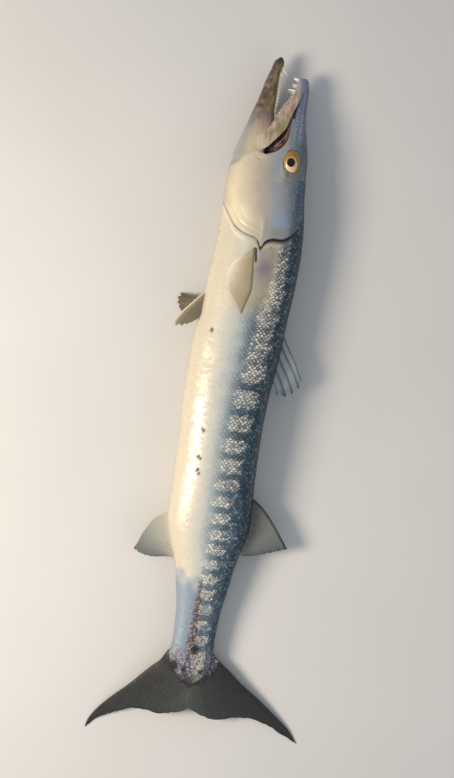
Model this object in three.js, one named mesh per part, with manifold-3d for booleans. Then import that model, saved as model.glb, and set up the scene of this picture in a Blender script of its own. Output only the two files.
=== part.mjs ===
// A great barracuda, life size, lying on its right flank with its jaws open, as a still display model.
// Millimetres. +Z is up off the floor and the fish's left side, +Y is towards its snout, +X is towards its back.
// Along the fish every place is given as "at", the distance behind a mark just inside the tip of the snout.
import * as THREE from "three";
import { mergeVertices } from "three/addons/utils/BufferGeometryUtils.js";
import Module from "manifold-3d";

const wasm = await Module();
wasm.setup();

// Driving sizes
const GAP = 0.3; // between pieces that touch
const FIN_GAP = 0.4;
const GILL_GAP = 0.4;
const FLOOR = 0;
const SIDES = 28; // corners round a cross-section
const JAW_SIDES = 20;
const RING_STEP = 16; // along the body
const HEAD_RING_STEP = 10;
const SKIN_ROUNDNESS = 2.2; // 2 is an ellipse, more is boxier
const TRUNK_STARTS = 60; // the snout takes over ahead of this
const NECK_AT = 262; // behind the gill openings
const TORSO_SEAMS = [400, 560, 717];
const STALK_END = 903.9;
const UNDER_ALL = -20; // height below and above everything
const OVER_ALL = 120;

// The trunk: at, back line, belly line, half width, height of the middle over the floor,
// and how far the widest line sits towards the back as a share of the half depth
const BODY = [
  [57.2, 55.8, -23.2, 19.0, 32.0, 0.3],
  [85.9, 60.7, -31.4, 25.0, 34.0, 0.3],
  [115.5, 66.7, -39.9, 30.5, 36.0, 0.25],
  [144.1, 68.2, -45.4, 34.6, 38.5, 0.18],
  [174.7, 70.7, -46.4, 37.4, 41.5, 0.12],
  [203.0, 73.9, -45.9, 38.8, 42.8, 0.06],
  [232.0, 77.0, -46.1, 39.4, 43.0, 0.02],
  [262.0, 77.8, -48.8, 40.2, 43.0, 0],
  [300.0, 76.4, -51.5, 41.2, 43.0, 0],
  [350.0, 72.2, -54.8, 42.5, 43.0, 0],
  [409.0, 68.4, -60.9, 43.9, 43.0, 0],
  [469.0, 61.9, -62.3, 43.9, 43.0, 0],
  [528.1, 59.2, -60.1, 42.6, 41.7, 0],
  [586.3, 59.8, -59.0, 40.0, 39.3, 0],
  [640.7, 62.5, -58.9, 36.4, 36.3, 0],
  [661.0, 62.3, -57.5, 34.2, 35.0, 0],
  [691.5, 55.4, -49.3, 30.0, 32.8, 0],
  [722.0, 49.0, -38.3, 25.8, 30.6, 0],
  [752.6, 44.6, -32.3, 22.0, 28.6, 0],
  [793.4, 38.4, -26.3, 18.0, 26.2, 0],
  [834.4, 36.4, -24.7, 14.4, 24.0, 0],
  [854.8, 38.1, -26.8, 11.5, 23.0, 0],
  [873.3, 34.4, -22.3, 7.8, 22.3, 0],
  [889.6, 26.3, -9.1, 5.0, 21.8, 0],
  [903.9, 13.2, 5.1, 2.6, 21.4, 0],
];
// Over the gills the head is wider than the trunk beneath: at, half width
const GILL_BULGE = [
  [57.2, 19.0],
  [115.5, 30.6],
  [144.1, 35.4],
  [159.4, 38.2],
  [174.7, 40.6],
  [203.0, 43.5],
  [232.0, 44.2],
  [262.0, 43.6],
];
// The snout above the open mouth, in the same columns as the trunk
const SNOUT = [
  [10.4, 53.9, 43.4, 7.0, 28.7, 0.2],
  [26.4, 54.6, 39.3, 9.6, 29.8, 0.2],
  [43.9, 54.8, 35.8, 13.0, 31.0, 0.2],
  [57.2, 55.8, 33.7, 16.0, 32.0, 0.2],
  [72.6, 58.0, 31.2, 18.8, 33.0, 0.2],
  [87.9, 60.4, 27.2, 21.0, 34.1, 0.2],
  [103.3, 63.2, 18.1, 24.0, 35.2, 0.2],
];
const SNOUT_ROUNDNESS = 2.6;
const SNOUT_STEP = 9;
const SNOUT_ENDS = 103; // inside the head
// The roof of the mouth, a keel between the blades of the upper jaw, in the same columns
const PALATE = [
  [26.0, 46.0, 35.5, 6.6, 29.8, 0],
  [41.8, 46.0, 31.0, 8.6, 30.9, 0],
  [57.2, 46.0, 25.0, 10.6, 32.0, 0],
  [72.6, 47.0, 17.0, 12.6, 33.0, 0],
  [87.9, 48.0, 9.0, 14.6, 34.0, 0],
  [103.2, 48.0, 3.0, 16.6, 35.1, 0],
  [124.0, 44.0, -1.0, 17.6, 36.4, 0],
];
const PALATE_SIDES = 14;
const PALATE_STEP = 16;
// The lower jaw, dropped open: at, tooth line, throat line, half width, height of the middle, widest line
const LOWER_JAW = [
  [-29.2, 9.1, 4.0, 2.2, 26.0, 0.2],
  [-23.0, 12.5, -1.8, 5.0, 26.4, 0.3],
  [-9.6, 9.7, -5.5, 7.4, 27.3, 0.4],
  [5.9, 9.1, -10.3, 9.6, 28.4, 0.4],
  [22.3, 9.5, -14.1, 12.2, 29.5, 0.4],
  [37.7, 10.1, -17.7, 15.0, 30.6, 0.4],
  [51.1, 10.3, -22.0, 17.4, 31.5, 0.4],
  [68.5, 12.1, -26.4, 19.4, 32.7, 0.4],
  [84.9, 13.1, -31.3, 22.0, 33.9, 0.4],
  [100.2, 8.0, -35.0, 24.8, 34.9, 0.4],
  [124.0, 0.0, -42.0, 28.4, 36.4, 0.4],
];
const JAW_ROUNDNESS = 2.4;
const JAW_STEP = 9;
const JAW_WALL = 4.2;
const JAW_FLOOR = 7.5;
const MOUTH_FLOOR_STARTS = -14;
const LOWER_TEETH = 12;
const LOWER_TOOTH_PITCH = 5;
const LOWER_RIM = 0.86; // the teeth stand at this share of the height from the widest line to the tooth line
// The upper jaw, two blades that swing down from a solid tip. These sections reach past the blades' outline
const UPPER_JAW = [
  [-4.4, 50.3, 38.8, 4.4, 27.8, 0],
  [1.8, 52.5, 34.3, 6.8, 28.2, 0],
  [10.0, 53.9, 28.3, 8.8, 28.7, 0],
  [26.4, 60.5, 17.1, 12.0, 29.8, 0],
  [41.8, 62.5, 2.0, 15.6, 30.9, 0],
  [57.2, 64.4, -12.1, 19.6, 32.0, 0],
  [72.6, 64.4, -26.2, 23.6, 33.0, 0],
  [87.9, 62.3, -40.2, 27.4, 34.0, 0],
  [103.2, 60.3, -44.2, 30.4, 35.1, 0],
  [116.5, 60.3, -46.2, 32.0, 36.0, 0],
];
const UPPER_ROUNDNESS = 3;
const UPPER_STEP = 8;
const BLADE_THICK = 3.2;
const SOLID_TIP = 11;
const UPPER_TEETH = 11;
// Fangs near the tip of the upper jaw: root at, root x, tip at, tip x, distance from the middle, radius
const FANGS = [
  [0.8, 38, -3, 29.4, 3.2, 1.9],
  [9.5, 36.4, 8, 28, 5.4, 1.6],
  [18.6, 34.6, 16.2, 22.5, 7.4, 2.2],
];
// Outline of the upper jaw seen from the side, [at, x]: the tooth edge from the tip, then back along the slit
const UPPER_JAW_OUTLINE = [
  [-3.1, 38.8],
  [3.7, 36.2],
  [20.5, 33.5],
  [35.9, 27.2],
  [44.8, 21.1],
  [56.8, 15.3],
  [68.6, 9.6],
  [79.4, 2.4],
  [91.1, -5.5],
  [102.7, -8.5],
  [111.0, -4.9],
  [114.6, 1.5],
  [111.0, 4.9],
  [103.1, 10.1],
  [92.7, 17.3],
  [84.1, 22.6],
  [78.3, 28.5],
  [66.7, 32.7],
  [51.8, 36.6],
  [36.6, 42.0],
  [20.0, 47.5],
  [12.5, 53.2],
  [1.4, 52.7],
  [-3.1, 49.8],
];
// Line behind the open mouth, from the throat to the snout, [at, x]
const MOUTH_BACK = [
  [122.3, -59.1],
  [121.3, -37.4],
  [117.2, -11.8],
  [116.2, 7.9],
  [114.1, 14.8],
  [106.9, 23.7],
  [92.2, 31.6],
  [75.1, 35.5],
  [48.1, 39.3],
  [18.9, 60.1],
];
// Rear edge of the gill covers, from the throat round the flap to the nape, [at, x]
const GILL_EDGE = [
  [179.8, -70.1],
  [187.8, -50.0],
  [207.5, -37.5],
  [224.9, -26.0],
  [239.2, -10.7],
  [246.0, 2.9],
  [255.8, 10.7],
  [260.2, 15.1],
  [253.8, 20.9],
  [247.5, 25.8],
  [243.3, 36.0],
  [241.8, 46.9],
  [233.5, 57.9],
  [221.5, 65.5],
  [204.7, 71.5],
  [189.9, 95.0],
];
const GILL_COVER_FRONT = [
  [200.0, 61.1],
  [176.4, 55.1],
  [163.6, 39.3],
  [160.4, 17.6],
  [164.2, -5.9],
  [173.1, -25.5],
  [184.5, -41.6],
];
const EYE = { at: 132, x: 43.4, long: 21, tall: 14.4, deep: 9, sunk: 4.6, tilt: 0.33 };
const EYE_RIM = { wide: 2.4, deep: 4, sunk: 2.6 };
const NOSTRILS = [
  { at: 94.5, x: 47.5, r: 1.8 },
  { at: 101, x: 47, r: 2.4 },
];
const NOSTRIL_DEEP = 1.6;
// The throat inside the head, as an ellipsoid: half sizes and middle in x, at and z
const GULLET = { half: [18, 34, 15], middle: [2, 108, 35.6] };
const ROUND_DETAIL = 18; // corners round the eyes
const TOOTH_SUNK = 0.33; // share of a tooth's length that is rooted in the jaw
const TOOTH_SIDES = 5;
const MEMBRANE = 0.55; // thickness between the rays as a share of that at a ray

const COLOURS = {
  skin: 0xa9b4b6,
  gill: 0xb9b6a6,
  jaw: 0x8d8468,
  fin: 0x4a5250,
  pale_fin: 0xa7a184,
  eye: 0x8a6a2c,
  mouth: 0xb98d7c,
};

// Smooth curve through [at, value] pairs that never overshoots them
function profile(rows, column) {
  const t = rows.map((r) => r[0]);
  const v = rows.map((r) => r[column]);
  const slope = v.slice(1).map((y, i) => (y - v[i]) / (t[i + 1] - t[i]));
  const tangent = v.map((_, i) => {
    if (i === 0) return slope[0];
    if (i === v.length - 1) return slope[i - 1];
    if (slope[i - 1] * slope[i] <= 0) return 0;
    return (2 * slope[i - 1] * slope[i]) / (slope[i - 1] + slope[i]);
  });
  return (at) => {
    const x = Math.min(Math.max(at, t[0]), t[t.length - 1]);
    const i = Math.min(
      t.findLastIndex((s) => s <= x),
      t.length - 2,
    );
    const h = t[i + 1] - t[i];
    const u = (x - t[i]) / h;
    return (
      v[i] * (1 + 2 * u) * (1 - u) ** 2 +
      h * tangent[i] * u * (1 - u) ** 2 +
      v[i + 1] * u * u * (3 - 2 * u) +
      h * tangent[i + 1] * u * u * (u - 1)
    );
  };
}

// The shape of a cross-section at each place along a table of stations
function shapeOf(rows, roundness = SKIN_ROUNDNESS, sides = SIDES, width = profile(rows, 3)) {
  const back = profile(rows, 1);
  const belly = profile(rows, 2);
  const level = profile(rows, 4);
  const lean = profile(rows, 5);
  return (at) => {
    const middle = (back(at) + belly(at)) / 2;
    const half = (back(at) - belly(at)) / 2;
    const widest = middle + lean(at) * half;
    return {
      widest,
      up: back(at) - widest,
      down: widest - belly(at),
      width: width(at),
      level: level(at),
      roundness,
      sides,
    };
  };
}

// One closed cross-section, square to the length of the fish
function ring(at, shape, grow) {
  const s = shape(at);
  return Array.from({ length: s.sides }, (_, i) => {
    const turn = (2 * Math.PI * i) / s.sides;
    const c = Math.cos(turn);
    const q = Math.sin(turn);
    const half = (c > 0 ? s.up : s.down) + grow;
    return new THREE.Vector3(
      s.widest + Math.sign(c) * half * Math.abs(c) ** (2 / s.roundness),
      -at,
      s.level + Math.sign(q) * (s.width + grow) * Math.abs(q) ** (2 / s.roundness),
    );
  });
}

function solidOf(geometry) {
  const bare = geometry.clone();
  bare.deleteAttribute("normal");
  bare.deleteAttribute("uv");
  const merged = mergeVertices(bare, 1e-4);
  const made = new wasm.Manifold(
    new wasm.Mesh({
      numProp: 3,
      vertProperties: new Float32Array(merged.attributes.position.array),
      triVerts: new Uint32Array(merged.index.array),
    }),
  );
  return made;
}

function solidFrom(points, triangles) {
  const volume = triangles.reduce((sum, [a, b, c]) => {
    const cross = new THREE.Vector3().crossVectors(points[b], points[c]);
    return sum + points[a].dot(cross);
  }, 0);
  const faces = volume < 0 ? triangles.map(([a, b, c]) => [a, c, b]) : triangles;
  const geometry = new THREE.BufferGeometry().setFromPoints(points);
  geometry.setIndex(faces.flat());
  return solidOf(geometry);
}

// Skin over a row of rings, closed by a fan at each end
function loft(rings) {
  const sides = rings[0].length;
  const points = rings.flat();
  const triangles = [];
  for (let r = 0; r < rings.length - 1; r++) {
    for (let i = 0; i < sides; i++) {
      const a = r * sides + i;
      const b = r * sides + ((i + 1) % sides);
      triangles.push([a, b, b + sides], [a, b + sides, a + sides]);
    }
  }
  for (const end of [0, rings.length - 1]) {
    const hub = points.length;
    points.push(
      rings[end]
        .reduce((sum, p) => sum.add(p), new THREE.Vector3())
        .divideScalar(sides),
    );
    for (let i = 0; i < sides; i++) {
      const a = end * sides + i;
      const b = end * sides + ((i + 1) % sides);
      triangles.push(end === 0 ? [b, a, hub] : [a, b, hub]);
    }
  }
  return solidFrom(points, triangles);
}

function loftAlong(shape, from, to, step, grow = 0) {
  const count = Math.max(2, Math.round((to - from) / step));
  return loft(
    Array.from({ length: count + 1 }, (_, i) =>
      ring(from + ((to - from) * i) / count, shape, grow),
    ),
  );
}

// Everything inside an outline drawn on the side view, between two heights
function prism(outline, low = UNDER_ALL, high = OVER_ALL) {
  const shape = new THREE.Shape(outline.map(([at, x]) => new THREE.Vector2(x, -at)));
  const geometry = new THREE.ExtrudeGeometry(shape, {
    depth: high - low,
    bevelEnabled: false,
  });
  geometry.translate(0, 0, low);
  return solidOf(geometry);
}

// A smooth line through the given side-view points
function smooth(points, count) {
  const curve = new THREE.SplineCurve(points.map((p) => new THREE.Vector2(...p)));
  return curve.getPoints(count).map((p) => [p.x, p.y]);
}

// The same line moved sideways, towards the tail where it runs from the belly to the back
function beside(points, by) {
  return points.map((p, i) => {
    const a = points[Math.max(i - 1, 0)];
    const b = points[Math.min(i + 1, points.length - 1)];
    const long = Math.hypot(b[0] - a[0], b[1] - a[1]);
    return [p[0] + (by * (b[1] - a[1])) / long, p[1] - (by * (b[0] - a[0])) / long];
  });
}

function ellipsoid(radii, centre, tilt = 0, detail = ROUND_DETAIL) {
  const geometry = new THREE.SphereGeometry(1, detail, Math.round(detail / 2));
  geometry.scale(...radii);
  geometry.rotateY(tilt);
  geometry.translate(...centre);
  return solidOf(geometry);
}

// A pointed tooth from its root to its tip, its root sunk by a third of its length
function tooth(root, tip, radius) {
  const from = new THREE.Vector3(...root);
  const axis = new THREE.Vector3(...tip).sub(from);
  const sunk = axis.length() * TOOTH_SUNK;
  const length = axis.length() + sunk;
  const geometry = new THREE.ConeGeometry(radius, length, TOOTH_SIDES);
  geometry.translate(0, length / 2 - sunk, 0);
  geometry.applyQuaternion(
    new THREE.Quaternion().setFromUnitVectors(
      new THREE.Vector3(0, 1, 0),
      axis.clone().normalize(),
    ),
  );
  geometry.translate(...from.toArray());
  return solidOf(geometry);
}

const join = (solids) => wasm.Manifold.union(solids);
const aboveFloor = (solid) => solid.trimByPlane([0, 0, 1], FLOOR);

function largest(solid) {
  const bodies = solid.decompose();
  return bodies.reduce((best, b) => (b.volume() > best.volume() ? b : best));
}

// Trunk
const trunkShape = shapeOf(BODY);
const gillShape = shapeOf(BODY, SKIN_ROUNDNESS, SIDES, profile(GILL_BULGE, 1));

function trunk(grow = 0) {
  const front = loftAlong(trunkShape, TRUNK_STARTS, NECK_AT, HEAD_RING_STEP, grow);
  const rear = loftAlong(trunkShape, NECK_AT, STALK_END + grow, RING_STEP, grow);
  return join([front, rear]);
}

// Height of the flank over the floor at a place on the side view; side is 1 for the left, -1 for the right
function flank(at, x, side, lift) {
  const s = trunkShape(at);
  const reach = x > s.widest ? s.up : s.down;
  const out = Math.min(Math.abs(x - s.widest) / reach, 0.999);
  return (
    s.level +
    side * (s.width * (1 - out ** s.roundness) ** (1 / s.roundness) + lift)
  );
}

const wholeTrunk = trunk();
const grownTrunk = trunk(FIN_GAP);
const gillEdge = smooth(GILL_EDGE, 32);
const mouthBack = smooth(MOUTH_BACK, 20);
const FAR_FRONT = -60;

const aheadOf = (edge) =>
  prism([...edge, [FAR_FRONT, edge[edge.length - 1][1]], [FAR_FRONT, edge[0][1]]]);

const behind = (solid, edge) => solid.subtract(aheadOf(beside(edge, GILL_GAP)));

function slice(from, to) {
  return wholeTrunk
    .trimByPlane([0, 1, 0], -to + GAP / 2)
    .trimByPlane([0, -1, 0], from + GAP / 2);
}

// Head
const snoutShape = shapeOf(SNOUT, SNOUT_ROUNDNESS, JAW_SIDES);
const palateShape = shapeOf(PALATE, SKIN_ROUNDNESS, PALATE_SIDES);
const coverFront = smooth(GILL_COVER_FRONT, 12);
const headSides = loftAlong(gillShape, TRUNK_STARTS, NECK_AT, HEAD_RING_STEP);
const beforeCovers = prism([...coverFront, [FAR_FRONT, -70], [FAR_FRONT, 95], [196, 95]]);

function eyeBall(side, grow = 0) {
  const surface = flank(EYE.at, EYE.x, side, 0);
  return ellipsoid(
    [EYE.tall + grow, EYE.long + grow, EYE.deep + grow],
    [EYE.x, -EYE.at, surface - side * EYE.sunk],
    side * EYE.tilt,
  );
}

function eyeRim(side) {
  return ellipsoid(
    [EYE.tall + EYE_RIM.wide, EYE.long + EYE_RIM.wide, EYE_RIM.deep],
    [EYE.x, -EYE.at, flank(EYE.at, EYE.x, side, 0) - side * EYE_RIM.sunk],
    side * EYE.tilt,
  );
}

function nostril({ at, x, r }, side) {
  const s = snoutShape(at);
  const out = Math.abs(x - s.widest) / (x > s.widest ? s.up : s.down);
  const z = s.level + side * s.width * (1 - out ** s.roundness) ** (1 / s.roundness);
  return ellipsoid([r * 0.7, r, NOSTRIL_DEEP], [x, -at, z], 0, 8);
}

function makeHead() {
  const [middleX, middleAt, middleZ] = GULLET.middle;
  const gullet = ellipsoid(GULLET.half, [middleX, -middleAt, middleZ], 0, 16);
  const core = join([headSides.intersect(beforeCovers), wholeTrunk])
    .intersect(aheadOf(gillEdge))
    .subtract(aheadOf(mouthBack));
  const snout = loftAlong(snoutShape, SNOUT[0][0], SNOUT_ENDS, SNOUT_STEP);
  const palate = loftAlong(palateShape, PALATE[0][0], PALATE[PALATE.length - 1][0], PALATE_STEP);
  const sides = [1, -1];
  return join([core, snout, ...sides.map((s) => eyeRim(s))])
    .subtract(gullet)
    .add(palate)
    .subtract(join(sides.map((s) => eyeBall(s, GAP))))
    .subtract(join(sides.flatMap((s) => NOSTRILS.map((n) => nostril(n, s)))));
}

function gillCover(side) {
  const middle = trunkShape(200).level;
  const half = side > 0 ? [middle + 1, OVER_ALL] : [UNDER_ALL, middle - 1];
  const front = beside(coverFront, -GAP);
  const outline = [...front, [192, -48], ...gillEdge.slice(3, 28)];
  return headSides.intersect(prism(outline, ...half)).subtract(grownTrunk);
}

// Jaws
const lowerShape = shapeOf(LOWER_JAW, JAW_ROUNDNESS, JAW_SIDES);

function makeLowerJaw() {
  const outer = loftAlong(lowerShape, LOWER_JAW[0][0], 124, JAW_STEP);
  const troughShape = (at) => {
    const s = lowerShape(at);
    return {
      ...s,
      widest: s.widest + 4,
      up: s.up + 12,
      down: Math.max(s.down + 4 - JAW_FLOOR, 3),
      width: Math.max(s.width - JAW_WALL, 1.5),
    };
  };
  const trough = loftAlong(troughShape, MOUTH_FLOOR_STARTS, 130, JAW_STEP);
  const rim = (at) => lowerShape(at).widest + lowerShape(at).up * LOWER_RIM;
  const teeth = [];
  for (const side of [1, -1]) {
    for (let i = 0; i < LOWER_TEETH; i++) {
      const at = -2 + i * LOWER_TOOTH_PITCH;
      const s = lowerShape(at);
      const height = 3 + 1.6 * Math.sin((Math.PI * (i + 2)) / LOWER_TEETH);
      const z = s.level + side * (s.width - JAW_WALL * 0.55);
      teeth.push(
        tooth([rim(at), -at, z], [rim(at) + height, -at - 1, z], 1.25),
      );
    }
    teeth.push(
      tooth([10.8, 13, 27 + side * 2.6], [20.3 - side, 5.1, 27.4 + side * 3.2], 2),
    );
  }
  return join([outer.subtract(trough), ...teeth]).intersect(
    aheadOf(beside(mouthBack, -GAP)),
  );
}

const upperShape = shapeOf(UPPER_JAW, UPPER_ROUNDNESS, JAW_SIDES);
const betweenBlades = (at) => ({
  ...upperShape(at),
  width: Math.max(upperShape(at).width - BLADE_THICK, 1),
});

function makeUpperJaw() {
  const outer = loftAlong(upperShape, UPPER_JAW[0][0], 124, UPPER_STEP);
  const inner = loftAlong(betweenBlades, SOLID_TIP, 132, UPPER_STEP);
  const snoutRoom = loftAlong(snoutShape, SNOUT[0][0] - GAP, SNOUT_ENDS, SNOUT_STEP, GAP);
  const blades = outer
    .subtract(inner)
    .intersect(prism(smooth([...UPPER_JAW_OUTLINE, UPPER_JAW_OUTLINE[0]], 60).slice(1)))
    .subtract(snoutRoom);
  const edge = new THREE.SplineCurve(
    UPPER_JAW_OUTLINE.slice(2, 9).map((p) => new THREE.Vector2(...p)),
  );
  const teeth = [];
  for (const side of [1, -1]) {
    for (let i = 0; i < UPPER_TEETH; i++) {
      const p = edge.getPointAt(0.16 + i * 0.074);
      const s = upperShape(p.x);
      const z = s.level + side * (s.width - BLADE_THICK / 2);
      teeth.push(
        tooth([p.y + 1.2, -p.x, z], [p.y - 1.8, -p.x + 1.2, z], 1.1),
      );
    }
    for (const [rootAt, rootX, tipAt, tipX, z, r] of FANGS) {
      const level = upperShape(rootAt).level;
      teeth.push(
        tooth(
          [rootX, -rootAt, level + side * z],
          [tipX, -tipAt, level + side * (z - 0.6)],
          r,
        ),
      );
    }
  }
  return join([blades, ...teeth]);
}

function makeTongue() {
  const shape = (at) => {
    const s = lowerShape(at);
    const floor = s.widest - s.down + JAW_FLOOR + GAP;
    const taper = Math.sin(Math.PI * Math.min((at - 6) / 60, 0.5));
    return {
      widest: floor + 3.4,
      up: 2.6,
      down: 2.6,
      width: 1.5 + 5 * taper,
      level: s.level,
      roundness: 2,
      sides: 12,
    };
  };
  return loftAlong(shape, 6, 92, 12);
}

// Fins. A fin is drawn on the side view as rays that fan from a root line to a margin; lie(at, x, s, t) gives
// its height over the floor. Rays are ridges on both faces, and the membrane between them is thinner.
function fin({ root, margin, lie, rays, steps, thick, thin, bow = [0, 0], notch = 0 }) {
  const columns = 2 * rays - 1;
  const place = (s, t) => {
    const [a0, x0] = root(s);
    const [a1, x1] = margin(s);
    const sag = (bow[0] + (bow[1] - bow[0]) * s) * 4 * t * (1 - t);
    const long = Math.hypot(a1 - a0, x1 - x0);
    const at = a0 + (a1 - a0) * t - (sag * (x1 - x0)) / long;
    const x = x0 + (x1 - x0) * t + (sag * (a1 - a0)) / long;
    return new THREE.Vector3(x, -at, lie(at, x, s, t));
  };
  const faces = [[], []];
  for (let c = 0; c < columns; c++) {
    const s = c / (columns - 1);
    const membrane = c % 2 === 1;
    for (let k = 0; k <= steps; k++) {
      const t = (k / steps) * (membrane ? 1 - notch : 1);
      const across = place(Math.min(s + 0.01, 1), t).sub(place(Math.max(s - 0.01, 0), t));
      const along = place(s, Math.min(t + 0.01, 1)).sub(place(s, Math.max(t - 0.01, 0)));
      const normal = across.cross(along).normalize();
      const full = thick + (thin - thick) * t;
      const half = Math.max(full * (membrane ? MEMBRANE : 1), thin * 0.6) / 2;
      const p = place(s, t);
      faces[0].push(p.clone().addScaledVector(normal, half));
      faces[1].push(p.clone().addScaledVector(normal, -half));
    }
  }
  const points = faces.flat();
  const side = faces[0].length;
  const row = steps + 1;
  const triangles = [];
  for (let c = 0; c < columns - 1; c++) {
    for (let k = 0; k < steps; k++) {
      const a = c * row + k;
      const b = a + row;
      triangles.push([a, b, b + 1], [a, b + 1, a + 1]);
      triangles.push([b + side, a + side, b + 1 + side]);
      triangles.push([b + 1 + side, a + side, a + 1 + side]);
    }
  }
  const rim = [];
  for (let c = 0; c < columns; c++) rim.push(c * row);
  for (let k = 1; k <= steps; k++) rim.push((columns - 1) * row + k);
  for (let c = columns - 2; c >= 0; c--) rim.push(c * row + steps);
  for (let k = steps - 1; k >= 1; k--) rim.push(k);
  rim.forEach((a, i) => {
    const b = rim[(i + 1) % rim.length];
    triangles.push([b, a, a + side], [b, a + side, b + side]);
  });
  return solidFrom(points, triangles);
}

function lineOf(points) {
  const curve = new THREE.SplineCurve(points.map((p) => new THREE.Vector2(...p)));
  return (s) => {
    const p = curve.getPointAt(s);
    return [p.x, p.y];
  };
}

// A fin keeps clear of the trunk, and only what stands outside it is kept
const onTrunk = (made) => largest(aboveFloor(made.subtract(grownTrunk)));

const DORSAL_RAYS = 5;
function makeFirstDorsal() {
  return onTrunk(
    fin({
      root: lineOf([
        [364, 62],
        [398, 60],
        [431, 57],
      ]),
      margin: lineOf([
        [434.5, 105.4],
        [446.6, 103.6],
        [455, 95.9],
        [461, 85],
        [461.3, 72.6],
      ]),
      lie: (at, x, s, t) => trunkShape(at).level - 5 * t * t,
      rays: DORSAL_RAYS,
      steps: 7,
      thick: 3,
      thin: 1,
      bow: [5, 0],
      notch: 0.05,
    }),
  );
}

const SOFT_RAYS = 9;
function makeSecondDorsal() {
  return onTrunk(
    fin({
      root: lineOf([
        [612, 54],
        [655, 52],
        [692, 45],
      ]),
      margin: lineOf([
        [681.4, 122.1],
        [687.6, 104.5],
        [694, 86.3],
        [698.8, 69.3],
        [700.3, 59.2],
      ]),
      lie: (at, x, s, t) => trunkShape(at).level - 5 * t * t,
      rays: SOFT_RAYS,
      steps: 7,
      thick: 2.8,
      thin: 1,
      bow: [4, -1],
      notch: 0.02,
    }),
  );
}

function makeAnal() {
  return onTrunk(
    fin({
      root: lineOf([
        [646, -49],
        [678, -46],
        [712, -34],
      ]),
      margin: lineOf([
        [713.8, -101.4],
        [718.2, -93.5],
        [721.2, -80],
        [720.5, -66],
        [717, -52],
      ]),
      lie: (at, x, s, t) => trunkShape(at).level - 6 * t * t,
      rays: SOFT_RAYS,
      steps: 7,
      thick: 2.8,
      thin: 1,
      bow: [-6, 0],
      notch: 0.02,
    }),
  );
}

const LOBE_RAYS = 9;
const TAIL_LEVEL = 21.8;
const TAIL_DROP = 21.2; // from there down to the tips
const FORK = [934.6, 12.7];
const TAIL_LOBES = {
  upper: {
    root: [
      [880, 9.3],
      [866, 20],
      [848, 30],
    ],
    margin: [
      [FORK[0], FORK[1] + 0.3],
      [942, 31],
      [946, 52],
      [941.5, 78],
      [939.3, 100],
      [943.8, 124.5],
      [956, 153],
      [969.9, 180.5],
    ],
    bow: [0, 1],
    reach: 168,
  },
  lower: {
    root: [
      [880, 8.7],
      [868, -6],
      [850, -19],
    ],
    margin: [
      [FORK[0], FORK[1] - 0.3],
      [946, -16],
      [949.6, -36],
      [948, -57],
      [953, -80],
      [963, -100.6],
      [974, -119],
      [990.8, -135.4],
    ],
    bow: [0, -4],
    reach: 148,
  },
};

function tailLobe({ root, margin, bow, reach }) {
  return onTrunk(
    fin({
      root: lineOf(root),
      margin: lineOf(margin),
      lie: (at, x) => TAIL_LEVEL - TAIL_DROP * Math.min(Math.abs(x - FORK[1]) / reach, 1) ** 1.2,
      rays: LOBE_RAYS,
      steps: 9,
      thick: 4.2,
      thin: 1.2,
      bow,
    }),
  );
}

const PECTORAL_RAYS = 8;
// The right fin is folded further towards the belly, where there is room for it over the floor
const PECTORAL = {
  left: {
    side: 1,
    root: [
      [261, 7],
      [269, -2],
      [280, -14],
    ],
    margin: [
      [355, 3.4],
      [343, -5],
      [328, -16],
      [313, -22.6],
      [299, -23],
    ],
  },
  right: {
    side: -1,
    root: [
      [261, -5],
      [269, -13],
      [280, -23],
    ],
    margin: [
      [350, -20],
      [337, -28],
      [322, -35],
      [308, -37],
      [296, -36],
    ],
  },
};
const FIN_LIFT = { left: 2.4, right: 0.3 }; // of the tip off the flank

function pectoral({ side, root, margin }, lift) {
  return onTrunk(
    fin({
      root: lineOf(root),
      margin: lineOf(margin),
      lie: (at, x, s, t) => flank(at, x, side, FIN_GAP + 0.8 + lift * t),
      rays: PECTORAL_RAYS,
      steps: 7,
      thick: 1.6,
      thin: 0.9,
      bow: [7, -4],
    }),
  );
}

const PELVIC_RAYS = 6;
const PELVIC = {
  left: {
    margin: [
      [383.3, -94.4],
      [382.6, -80],
      [378, -69],
      [370, -57.4],
    ],
    rootZ: 54,
    tipZ: 62,
  },
  right: {
    margin: [
      [330, -90],
      [341, -93],
      [354, -88],
      [364, -77],
    ],
    rootZ: 32,
    tipZ: 1.8,
  },
};

function pelvic({ margin, rootZ, tipZ }) {
  return onTrunk(
    fin({
      root: lineOf([
        [329, -47],
        [338, -47],
        [350, -47],
      ]),
      margin: lineOf(margin),
      lie: (at, x, s, t) => rootZ + (tipZ - rootZ) * t,
      rays: PELVIC_RAYS,
      steps: 6,
      thick: 2.4,
      thin: 1,
    }),
  );
}

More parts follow.
